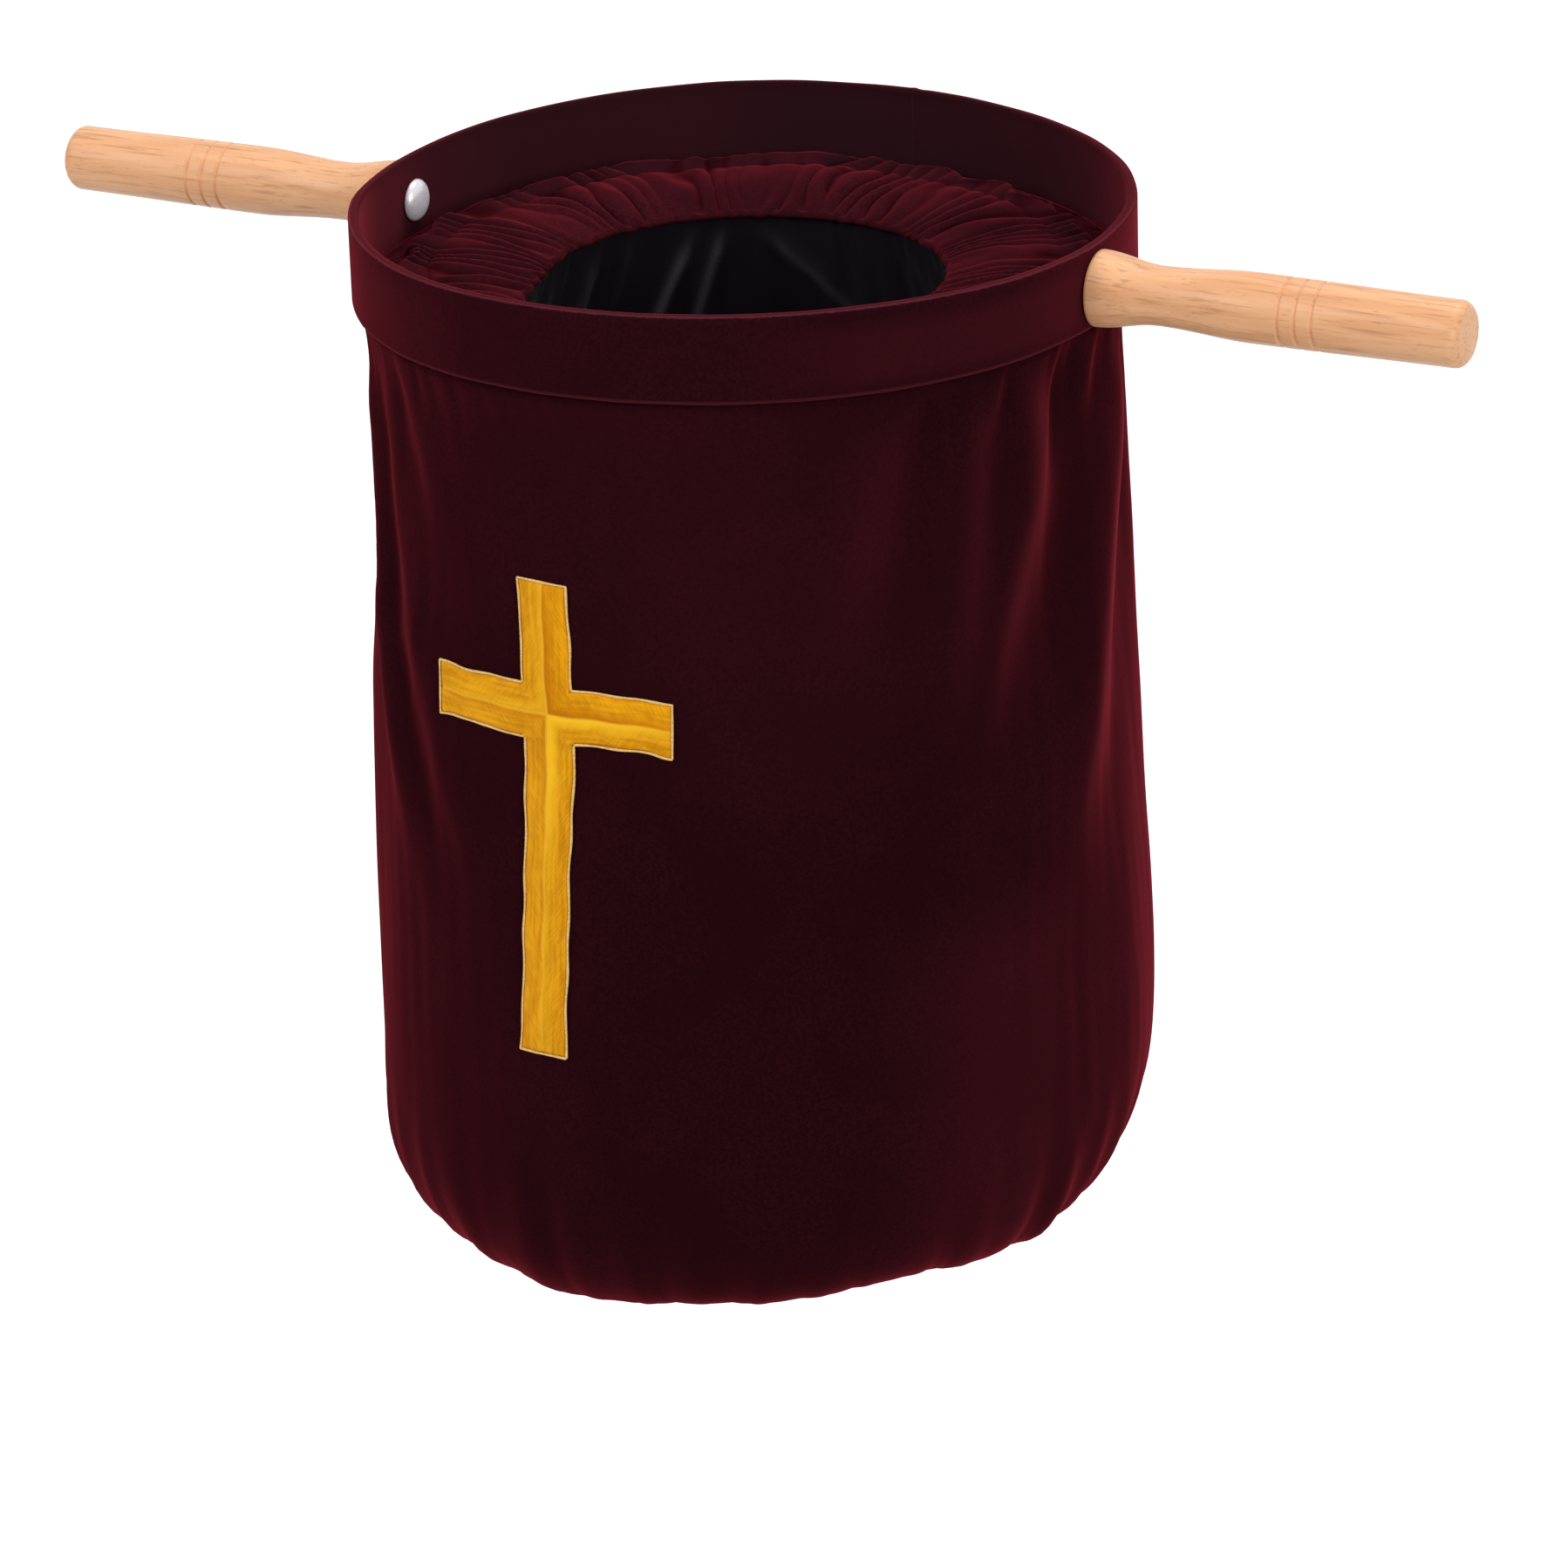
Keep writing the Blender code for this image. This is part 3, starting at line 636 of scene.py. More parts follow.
def velvet(name, deep, light, sheen_tint, sheen, painted_strips=()):
    """Cut-pile velvet: a very dark base whose pile shines red at a glancing angle.

    A painted strip of light or shade has its middle and half width on the UV map's second axis,
    its colour and strength, and its ends on the first axis. A painted shade stored in the mesh
    darkens the pile in each crease, and a painted sheen stored in the mesh lightens it.
    """
    mat, tree = new_material(name)
    nap = coordinates(tree).noise(22.0, 4.0, 0.55, 0.6)
    pile = coordinates(tree).noise(900.0, 3.0, 0.6)
    worn = nap.ranged(0.35, 0.68).mix(deep, light)
    tone = pile.ranged(0.3, 0.72).mix(shaded(deep, 0.82), worn)
    # each strip paints light or shade onto the pile
    if painted_strips:
        along, across = coordinates(tree, "UV").axes()
        across = across + (pile - 0.5) * 0.0008
        for middle, half, painted_tone, strength, start, end in painted_strips:
            share = (across - middle).math("ABSOLUTE").ranged(half, half * 0.4) * strength
            share = share * along.ranged(start, start + 0.05) * along.ranged(end, end - 0.05)
            tone = share.mix(tone, painted_tone)
    # painted shade in each crease, then a painted sheen highlight, by amounts stored in the mesh
    tone = attribute(tree, "painted_crease_shade").mix(tone, shaded(deep, 0.25))
    tone = attribute(tree, "painted_sheen").mix(tone, PAINTED_SHEEN_TONE)
    inputs = {
        "Roughness": 0.85,
        "Specular IOR Level": 0.0,
        "Sheen Weight": sheen,
        "Sheen Roughness": 0.40,
        "Sheen Tint": sheen_tint,
    }
    return finish(mat, tone, (pile + nap, 0.22, 0.0005), inputs)


def satin():
    """Black lining satin with a fine weave, and a highlight painted on its folds' crests."""
    mat, tree = new_material("lining_satin")
    at = coordinates(tree)
    weave = at.mapped(Scale=(1.0, 1.0, 0.25)).noise(1600.0, 2.0)
    tone = at.noise(30.0).mix((0.0106, 0.0080, 0.0108), (0.0164, 0.0124, 0.0166))
    # painted highlight on the folds' crests
    tone = attribute(tree, "crests").mix(tone, (0.110, 0.104, 0.112))
    inputs = {
        "Roughness": weave.ranged(0.2, 0.8, 0.30, 0.40),
        "Specular IOR Level": 0.08,
        "Sheen Weight": 0.05,
        "Sheen Roughness": 0.35,
    }
    return finish(mat, tone, (weave, 0.12, 0.0002), inputs)


def thread(name, low, high):
    """Sewing thread with a twist."""
    mat, tree = new_material(name)
    strands = coordinates(tree).noise(1400.0, 2.0)
    tone = strands.ranged(0.3, 0.7).mix(low, high)
    return finish(mat, tone, (strands, 0.4, 0.0003), {"Roughness": 0.5, "Sheen Weight": 0.15})


def gold_cloth(quarter, low, high, slant, painted_ridge_tone, painted_ridge_share):
    """Embroidered gold floss in slanting rows: its tones are a painted sheen, with a painted
    highlight or shade beside the ridge.
    """
    mat, tree = new_material(f"gold_{quarter}")
    over = coordinates(tree, "UV")
    turned = over.mapped(Rotation=(0.0, 0.0, math.radians(slant)))
    floss = turned.mapped(Scale=(1.0, 0.07, 1.0)).noise(1900.0, 3.0, 0.6)
    rows = over.noise(160.0, 3.0, 0.6)
    across, along = (axis.math("ABSOLUTE") for axis in over.axes())
    from_ridge = across.math("MINIMUM", along)
    from_crossing = across.math("MAXIMUM", along)
    lane = add_node(tree, "ShaderNodeCombineXYZ", {"X": from_ridge, "Y": slant, "Z": from_crossing})
    lanes = lane.mapped(Scale=(1.0, 1.0, 0.10)).noise(620.0, 2.0)
    shade = floss * 0.35 + rows * 0.20 + lanes * 0.45
    tone = shade.ranged(0.36, 0.64).mix(low, high)
    # a painted highlight or shade beside the ridge, strongest near the crossing, and a painted
    # highlight on the ridge
    beside = (from_ridge + (rows - 0.5) * 0.004).ranged(0.0058, 0.0009)
    beside = beside * from_crossing.ranged(0.060, 0.012, 0.25, 1.0)
    tone = (beside * painted_ridge_share).mix(tone, painted_ridge_tone)
    tone = (from_ridge.ranged(0.0007, 0.0003) * 0.45).mix(tone, PAINTED_RIDGE_HIGHLIGHT)
    inputs = {"Roughness": 0.55, "Specular IOR Level": 0.03}
    return finish(mat, tone, (shade, 0.5, 0.0004), inputs)


def wood(name, offset):
    """Turned beech with fine lengthwise grain, under satin varnish."""
    mat, tree = new_material(name)
    at = coordinates(tree).mapped(Location=offset)
    grain = at.mapped(Scale=(0.045, 1.0, 1.0)).noise(900.0, 4.0, 0.6)
    bands = at.mapped(Scale=(0.12, 1.0, 1.0)).noise(170.0, 2.0, 0.5, 0.4)
    flecks = at.mapped(Scale=(0.10, 1.0, 1.0)).noise(2300.0, 2.0)
    pores = flecks.ranged(0.62, 0.76) * 0.45
    tone = bands.ranged(0.34, 0.66).mix((0.830, 0.450, 0.235), (0.745, 0.370, 0.180))
    tone = (grain.ranged(0.50, 0.70) * 0.55).mix(tone, (0.430, 0.190, 0.085))
    tone = pores.mix(tone, (0.30, 0.12, 0.05))
    inputs = {
        "Roughness": grain.ranged(0.3, 0.8, 0.36, 0.50),
        "Specular IOR Level": 0.25,
        "Coat Weight": 0.12,
        "Coat Roughness": 0.25,
    }
    return finish(mat, tone, (grain - pores, 0.25, 0.0002), inputs)


def metal(name, tone, roughness, metallic=0.85):
    """Plated or plain metal with faint wear."""
    mat, tree = new_material(name)
    wear = coordinates(tree).noise(700.0)
    dull = wear.ranged(0.3, 0.7, roughness - 0.05, roughness + 0.07)
    worn = wear.mix(shaded(tone, 0.86), tone)
    return finish(mat, worn, (wear, 0.08, 0.0002), {"Metallic": metallic, "Roughness": dull})


# Hoop


def hoop_rise(azimuth, height):
    """How far above the true ring the bent hoop lies."""
    low, top = round_curve(LOW_RISE, azimuth), round_curve(TOP_RISE, azimuth)
    share = np.clip((height - HOOP_BOTTOM) / (HOOP_TOP - HOOP_BOTTOM), 0, 1)
    return MM * (low + (top - low) * share)


def hoop_out(azimuth):
    """How far outside the true ring the hoop bows; the handles hold it in."""
    from_handle = np.abs(turn_gap(2 * np.asarray(azimuth), math.pi)) / 2
    return HOOP_OUT * ramp(0.10, 0.40, from_handle)


def bent_points(radius, height, around):
    """Points of a ring turned about Z and bent as the hoop is."""
    return turned_points(radius + hoop_out(around), height + hoop_rise(around, height), around)


def cover_outline():
    """The hoop cover's profile: up outside, over and down inside, and its back."""
    outer, inner, top, low = HOOP_RADIUS, HOOP_INNER, HOOP_TOP, COVER_LOW
    tuck = WALL_TOP_RADIUS - 0.0001
    skin = [(tuck, low)]
    skin += rounded_corner((outer - HOOP_HEM, low + HOOP_HEM), HOOP_HEM, -90, 0, HEM_POINTS)
    skin += [(outer, z) for z in np.linspace(low + 0.003, top - 0.004, SIDE_POINTS)]
    skin += rounded_corner((outer - HOOP_FOLD, top - HOOP_FOLD), HOOP_FOLD, 0, 90, FOLD_POINTS)
    skin += rounded_corner((inner + HOOP_FOLD, top - HOOP_FOLD), HOOP_FOLD, 90, 180, FOLD_POINTS)
    skin += [(inner, z) for z in np.linspace(top - 0.004, HOOP_BOTTOM, SIDE_POINTS)]
    above, below = BAND_TOP + BAND_SLACK, BAND_BOTTOM - BAND_SLACK
    back = [(inner + VELVET, HOOP_BOTTOM), (inner + VELVET, above), (outer - VELVET, above)]
    back += [(outer - VELVET, below), (tuck, below)]
    return np.array(skin), np.array(back)


def cover_painted_strips(hem, fold, inside):
    """The cover's bands of painted light and shade, placed from where its edges lie along its
    profile.
    """
    half_way = math.pi * HOOP_RADIUS
    left, right = -0.45 * half_way, 0.76 * half_way
    return (
        # painted reflection on the inside face, painted sheen on its left and right, and painted
        # shade on its right
        (inside, 0.0200, (0.0258, 0.0078, 0.0112), 1.0, -1.0, 1.0),
        (inside, 0.0200, (0.0400, 0.0090, 0.0125), 0.7, -0.34, -0.10),
        (inside, 0.0200, (0.0400, 0.0090, 0.0125), 0.4, 0.14, 0.32),
        (inside, 0.0200, (0.0120, 0.0060, 0.0068), 0.8, 0.170, 0.285),
        # painted sheen on the outer face's right and left
        (0.0145, 0.0130, (0.0450, 0.0060, 0.0092), 0.5, 0.05, 0.30),
        (0.0145, 0.0130, (0.0400, 0.0056, 0.0086), 0.4, -0.30, -0.03),
        # painted shade beside the top fold
        (fold + 0.0018, 0.0014, PAINTED_EDGE_SHADE, 0.6, left, right),
        (fold + 0.0012, 0.0026, PAINTED_EDGE_SHADE, 0.9, -1.0, left),
        (fold + 0.0012, 0.0026, PAINTED_EDGE_SHADE, 0.9, 0.72 * half_way, 1.0),
        # painted pink highlight along the top fold and along the lower edge
        (fold, 0.0006, PAINTED_EDGE_HIGHLIGHT, 0.42, -0.50 * half_way, 0.70 * half_way),
        (hem, 0.0008, PAINTED_EDGE_HIGHLIGHT, 0.20, -1.0, 1.0),
    )


def hoop_cover():
    """The velvet wrapped over the hoop's band, from its lower edge up, over and down inside."""
    skin, back = cover_outline()
    around = azimuths(512)
    radius, height = skin[:, :1], skin[:, 1:]
    normal_r, normal_z = profile_normals(radius, height)
    share = (height - COVER_LOW) / (HOOP_TOP - COVER_LOW)
    ripple = 0.00006 * ring_waves(around, 5, 30, 11, share, 2.0)
    ripple -= 0.0004 * bell(turn_gap(around, math.pi), 0.010)
    ripple += 0.00025 * bell(turn_gap(around, math.pi - 0.022), 0.012)
    front = bent_points(radius + normal_r * ripple, height + normal_z * ripple * 0.5, around)
    points = np.concatenate([front, bent_points(back[:, :1], back[:, 1:], around)])
    steps = np.diff(np.concatenate([skin, back]), axis=0)
    way = np.concatenate([[0], np.cumsum(np.hypot(*steps.T))])
    uv = uv_grid(around * HOOP_RADIUS, way[:, None])
    obj = grid_object("hoop_cover_cloth", points, (True, True), uv)
    fold = way[1 + HEM_POINTS + SIDE_POINTS + FOLD_POINTS // 2]
    inside = way[len(skin) - 1 - SIDE_POINTS // 2]
    # painted light and shade on the cover
    painted_strips = cover_painted_strips(way[HEM_POINTS - 1], fold, inside)
    deep, light = (0.0200, 0.0033, 0.0052), (0.0270, 0.0042, 0.0066)
    mat = velvet("hoop_velvet", deep, light, (0.80, 0.074, 0.112), 0.47, painted_strips)
    place(obj, [mat], "rim", "hoop_cover")


def hoop_band():
    """The bent steel strip inside the cover."""
    inner, outer = BAND_RADIUS - BAND_THICKNESS, BAND_RADIUS
    radius = np.array([inner, outer, outer, inner])[:, None]
    height = np.array([BAND_BOTTOM, BAND_BOTTOM, BAND_TOP, BAND_TOP])[:, None]
    points = bent_points(radius, height, azimuths(256))
    obj = grid_object("hoop_band_strip", points, (True, True))
    obj.data.shade_flat()
    mat = metal("band_steel", (0.50, 0.51, 0.53), 0.40)
    place(obj, [mat], "rim", "hoop_band")


# Velvet wall and base


def wall_radius(z):
    """The velvet wall's outer radius at a height, before its folds."""
    z = np.asarray(z, float)
    t = np.clip((WALL_TOP - z) / (WALL_TOP - WALL_FULL_Z), 0, 1)
    undrawn = np.clip(1 - (WALL_TOP - z) / WALL_DRAW_HEIGHT, 0, 1)
    upper = WALL_WAIST_RADIUS + WALL_DRAW_IN * undrawn**2
    upper = upper + WALL_FLARE * np.sin(math.pi / 2 * t) ** 2
    share = np.clip((WALL_FULL_Z - z) / (WALL_FULL_Z - BAG_BOTTOM), 0, 1)
    corner = (1 - share**WALL_CORNER_POWER) ** (1 / WALL_CORNER_POWER)
    return np.where(z > WALL_FULL_Z, upper, WALL_BOTTOM_RADIUS + WALL_CORNER_WIDTH * corner)


def wall_painted_sheen(azimuth, z):
    """How much painted sheen highlight the wall's pile gets, from 0 to 1."""
    total = np.zeros(np.broadcast(azimuth, z).shape)
    for strength, width, beside, line in PAINTED_SHEEN_LINES:
        t, middle = down_line(line, z)
        reach = ramp(0.0, 0.16, t) * ramp(0.95, 0.40, t)
        off = turn_gap(azimuth, middle) * wall_radius(z) * 1000 - beside
        total += strength * reach * bell(off, width)
    return total


def wall_folds(azimuth, z):
    """How far the folds stand out of the wall."""
    total = np.zeros(np.broadcast(azimuth, z).shape)
    for size, width, side, bank, line in WALL_FOLDS:
        t, middle = down_line(line, z)
        reach = ramp(-0.05, 0.14, t) * ramp(1.0, 0.5, t)
        off = side * turn_gap(azimuth, middle) * wall_radius(z) * 1000 / width
        off = off / (0.8 + 0.4 * np.clip(t, 0, 1))
        crest = bell(off, np.where(off < 0, 1.7, 1.0))
        valley = bell(off - 1.85, np.where(off < 1.85, 1.0, 1.5 - 0.4 * bank))
        total += MM * size * reach * (crest - 0.6 * valley + bank * bell(off - 3.8, 1.1))
    return total


def side_bulge(azimuth, z):
    """How far the left and right sides stand out of the plain shape."""
    total = 0.0
    for centre, table in WALL_SIDES:
        facing = np.maximum(np.cos(turn_gap(azimuth, centre)), 0) ** 2
        total = total + MM * smooth_curve(table, z * 1000) * facing
    return total


def wall_drop(azimuth, z, radius):
    """How far below the plain shape the wall lies, at the bent hoop and at its lower edge."""
    seam = ramp(WALL_BOTTOM_RADIUS, WALL_BOTTOM_RADIUS + 0.011, radius)
    low = ramp(-0.232, -0.300, z) * seam
    high = ramp(-0.060, WALL_TOP, z)
    return MM * round_curve(HANG, azimuth) * low - hoop_rise(azimuth, HOOP_BOTTOM) * high


def wall_painted_crease_shade(azimuth, z):
    """How much painted shade the wall gets in each crease, from how deep in a crease its points
    lie.
    """
    step = math.radians(1.5)
    here = wall_folds(azimuth, z)
    ahead, behind = wall_folds(azimuth + step, z), wall_folds(azimuth - step, z)
    return 0.20 * np.clip((ahead + behind - 2 * here) / 0.0006, 0, 1)


def wall_offset(azimuth, z):
    """How far the cloth stands out of the plain wall."""
    depth = (WALL_TOP - z) / (WALL_TOP - BAG_BOTTOM)
    free = ramp(0.0, 0.12, depth)
    out = wall_folds(azimuth, z) + side_bulge(azimuth, z)
    out += hoop_out(azimuth) * ramp(0.06, 0.0, depth)
    out += 0.0006 * free * ring_waves(azimuth, 2, 7, 21, depth * 3) * ramp(1.0, 0.8, depth)
    out += 0.00016 * free * ring_waves(azimuth, 8, 26, 22, depth * 6)
    out += 0.00006 * ring_waves(azimuth, 30, 90, 23, depth * 9)
    out += 0.0002 * ramp(0.90, 0.998, depth) * pleats(azimuth, 84, 24, 0.9, depth * 2)
    low = ramp(0.80, 0.93, depth) * ramp(1.02, 0.97, depth)
    out += 0.00045 * low * ring_waves(azimuth, 18, 44, 25, depth * 5)
    tucks = ramp(0.10, 0.0, depth) * ramp(0.0, 0.02, depth)
    out += 0.0004 * tucks * pleats(azimuth, 76, 26, 1.0, depth * 8)
    seam = turn_gap(azimuth, BACK_SEAM) * wall_radius(z)
    out -= 0.0011 * bell(seam, 0.0011) * ramp(0.0, 0.012, depth)
    pucker = bell(seam, 0.006) * np.sin(z * TURN / 0.011 + 3 * np.sin(z * 70))
    return out + 0.00025 * pucker * ramp(0.0, 0.003, np.abs(seam))


def wall_surface(azimuth, radius, z, normal_r, normal_z, lift=0.0):
    """Points of the folded wall, lifted off it by a distance."""
    free = ramp(WALL_BOTTOM_RADIUS, WALL_BOTTOM_RADIUS + 0.008, radius)
    out = wall_offset(azimuth, z) * free + lift
    height = z + normal_z * out - wall_drop(azimuth, z, radius)
    return turned_points(radius + normal_r * out, height, azimuth)


def bag_wall():
    """The velvet side of the bag, with its folds and the gathers at its lower seam."""
    straight = np.linspace(WALL_TOP, WALL_FULL_Z, 240)
    angles = np.linspace(0, math.pi / 2, 200)[1:]
    power = 2 / WALL_CORNER_POWER
    corner_r = WALL_BOTTOM_RADIUS + WALL_CORNER_WIDTH * np.cos(angles) ** power
    corner_z = WALL_FULL_Z - (WALL_FULL_Z - BAG_BOTTOM) * np.sin(angles) ** power
    radius = np.concatenate([wall_radius(straight), corner_r])
    steps = np.linspace(0, 1, 98)
    steps = steps + 0.055 * np.sin(TURN * steps)
    radius, height = even_path(radius, np.concatenate([straight, corner_z]), steps)
    around = azimuths(480)
    points = wall_surface(around, radius, height, *profile_normals(radius, height))
    obj = grid_object("bag_wall_cloth", points, flip=True)
    # painted shade in each crease, and a painted sheen highlight along the folds
    mark(obj, "painted_crease_shade", wall_painted_crease_shade(around, height))
    mark(obj, "painted_sheen", wall_painted_sheen(around, height))
    thicken(obj, VELVET)
    place(obj, [BAG_VELVET], "rim", "bag_wall")
    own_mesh(obj)


def bag_base():
    """The round velvet panel that closes the bag, just clear of the wall that folds round it."""
    radius = panel_rings(0.004, BASE_RADIUS - CLOTH_GAP, 46)
    around = azimuths(300)
    share = radius / BASE_RADIUS
    uneven = ring_waves(around, 2, 6, 31, share * 4) * ramp(0.02, 0.35, share)
    height = BASE_LOW.z + 0.0004 * uneven
    height = height + 0.0010 * (1 - share**2)
    height = height + 0.0004 * ramp(0.80, 1.0, share) * pleats(around, 84, 24, 0.9, share * 2)
    height = height + 0.0006 * ramp(0.97, 1.0, share)
    obj = grid_object("bag_base_cloth", turned_points(radius, height, around), caps=(0,))
    thicken(obj, VELVET, 1.0)
    place(obj, [BAG_VELVET], "base", "bag_base")


# Funnel


def lip_out(azimuth):
    """How far outside the true circle the throat's lip lies."""
    return MM * round_curve(LIP_OUT, azimuth)


def funnel_rows():
    """The funnel's profile from its hem over the lip, out to the ridge and down outside.

    Each row is a radius, a height, how high the pleats stand there and how far they point
    outwards, not up.
    """
    lip_top = RIDGE_Z - LIP_DROP
    lip_r = THROAT_RADIUS + LIP_RADIUS
    rows = [(THROAT_RADIUS, THROAT_BOTTOM, 0.45, 1.0)]
    lip = rounded_corner((lip_r, lip_top - LIP_RADIUS), LIP_RADIUS, 180, 100, 7)
    for angle, (radius, height) in zip(np.linspace(180, 100, 7), lip):
        size = 0.45 + 0.35 * (180 - angle) / 90
        rows.append((radius, height, size, -math.cos(math.radians(angle))))
    slope = (RIDGE_Z - lip_top) / (RIDGE_RADIUS - lip_r)
    for t in np.linspace(0, 1, 34):
        radius = lip_r + (STITCH_RADIUS - 0.0008 - lip_r) * t
        puff = FUNNEL_PUFF * math.sin(math.pi * t) ** 0.8 - (STITCH_DEPTH - 0.0004) * t**4
        height = lip_top + slope * (radius - lip_r) + puff
        rows.append((radius, height, 0.8 + 0.3 * math.sin(math.pi * t), 0.0))
    stitch_z = lip_top + slope * (STITCH_RADIUS - lip_r) - STITCH_DEPTH
    rows.append((STITCH_RADIUS, stitch_z, 0.45, 0.0))
    for t in np.linspace(0.12, 1, 9):
        radius = STITCH_RADIUS + (RIDGE_RADIUS - STITCH_RADIUS) * t
        rows.append((radius, stitch_z + OUTER_RISE * t**0.9, 0.55 + 0.35 * t, 0.0))
    fold_z = stitch_z + OUTER_RISE - RUFFLE_FOLD
    fold = rounded_corner((RIDGE_RADIUS, fold_z), RUFFLE_FOLD, 70, -20, 6)
    for angle, (radius, height) in zip(np.linspace(70, -20, 6), fold):
        rows.append((radius, height, 0.8, math.cos(math.radians(angle))))
    foot_r, foot_z = fold[-1]
    for t in np.linspace(0.08, 1, 12):
        radius = foot_r + (FUNNEL_RADIUS - 0.0001 - foot_r) * t
        height = foot_z + (SEAM_Z - foot_z) * math.sin(math.pi / 2 * t) ** 0.8
        rows.append((radius, height, 0.6 * (1 - t), 1 - t))
    return np.array(rows)


def gathers(azimuth, along):
    """Soft pleats that wander and merge, from about -1 to 1."""
    bend = 0.085 * ring_waves(azimuth, 3, 14, 47) * (along - 0.4) ** 2
    strays = ring_waves(azimuth, 2, 22, 48, along * 2.1)
    phase = PLEATS * (azimuth + bend) + 2.4 * strays
    wave = 0.86 * np.cos(phase) - 0.14 * np.cos(2 * phase)
    strong = 0.62 + 0.38 * np.tanh(1.5 * ring_waves(azimuth, 3, 17, 50, along * 3))
    return wave * strong + 0.10 * ring_waves(azimuth, 14, 40, 44, along * 8)


def funnel_share(radius):
    """How far out a radius lies: 0 at the throat and 1 at the stitching."""
    return (radius - THROAT_RADIUS) / (STITCH_RADIUS - THROAT_RADIUS)


def funnel_points(rows, around):
    """Points of the gathered funnel for rows of its profile."""
    radius, height, size, outward = (rows[:, i : i + 1] for i in range(4))
    along = funnel_share(radius)
    tall = 0.0011 * size * gathers(around, along)
    lumps = ring_waves(around, 3, 12, 45, along * 2)
    tall = tall + 0.0005 * ramp(0.1, 0.5, along) * lumps * size
    frill = ramp(1.02, 1.22, along) * np.clip(size, 0, 1)
    out = outward * tall * 0.8 + frill * 0.0016 * ring_waves(around, 6, 34, 46)
    sewn = ramp(RIDGE_RADIUS + 0.002, FUNNEL_RADIUS, radius)
    out = out + hoop_out(around) * sewn
    out = out + lip_out(around) * np.clip(1 - along, 0, 1) ** 1.2
    out = out + 0.0003 * ring_waves(around, 16, 60, 49) * np.clip(1 - 4 * along, 0, 1)
    height = height + (1 - outward) * tall + hoop_rise(around, SEAM_Z) * sewn
    return turned_points(radius + out, height, around)


def funnel():
    """The gathered velvet ring: pleats out to the stitching, and a ruffle outside."""
    around = azimuths(760)
    rows = funnel_rows()
    uv = uv_grid(around * RIDGE_RADIUS, rows[:, :1])
    obj = grid_object("funnel_cloth", funnel_points(rows, around), uv=uv)
    along = funnel_share(rows[:, :1])
    # painted shade: in the gathers' valleys, along the stitching, in blotches towards it and over
    # the right side
    valleys = ramp(0.1, -0.9, gathers(around, along)) * ramp(0.03, 0.25, along)
    blotches = ramp(0.2, 1.4, ring_waves(around, 12, 50, 55, along * 9)) * ramp(0.6, 1.0, along)
    right_side = np.maximum(np.cos(turn_gap(around, math.radians(95))), 0)
    dark = 0.75 * valleys + 0.15 * bell(along - 1, 0.05) + 0.50 * blotches + 0.14 * right_side
    mark(obj, "painted_crease_shade", dark)
    thicken(obj, VELVET)
    # painted shade on the ruffle outside the stitching, under the hoop
    strip = (RIDGE_RADIUS + 0.006, 0.0190, (0.0165, 0.0045, 0.0068), 0.94, -1.0, 1.0)
    deep, light = (0.0260, 0.0044, 0.0070), (0.0480, 0.0066, 0.0102)
    mat = velvet("funnel_velvet", deep, light, (0.80, 0.058, 0.100), 0.33, [strip])
    place(obj, [mat], "rim", "funnel")


def topstitch():
    """The row of stitches round the funnel, each a short thread sunk at both ends."""
    profile = funnel_rows()
    row = profile[np.argmin(np.abs(profile[:, 0] - STITCH_RADIUS))][None, :]
    t = np.linspace(-1, 1, 7)
    radii = 0.00030 * np.sqrt(np.clip(1 - t**2, 0.05, 1))
    pieces = []
    for middle in azimuths(STITCHES)[0]:
        path = funnel_points(row, (middle + t * 0.36 * TURN / STITCHES)[None, :])[0]
        path[:, 2] += 0.0005 - 0.0006 * t**2
        pieces.append(tube_points(path, radii))
    obj = grid_object("funnel_stitching", np.array(pieces), caps=(0, -1))
    mat = thread("velvet_thread", (0.045, 0.006, 0.009), (0.090, 0.012, 0.017))
    place(obj, [mat], "rim", "funnel_topstitch")


# Satin pouch


def lining_folds(azimuth, z, sharpness=1.0):
    """How far the satin's folds stand inwards."""
    total = np.zeros(np.broadcast(azimuth, z).shape)
    for size, width, line in LINING_FOLDS:
        t, middle = down_line(line, z)
        reach = ramp(0.0, 0.15, t) * ramp(1.0, 0.4, t)
        off = turn_gap(azimuth, middle) * THROAT_RADIUS * 1000 / width
        total += MM * size * reach * np.exp(-sharpness * off**2)
    return total


def gore_seams(around, radius, width):
    """How near the pouch's seams points lie: 1 on a seam."""
    return sum(bell(turn_gap(around, seam) * radius, width) for seam in GORE_SEAMS)


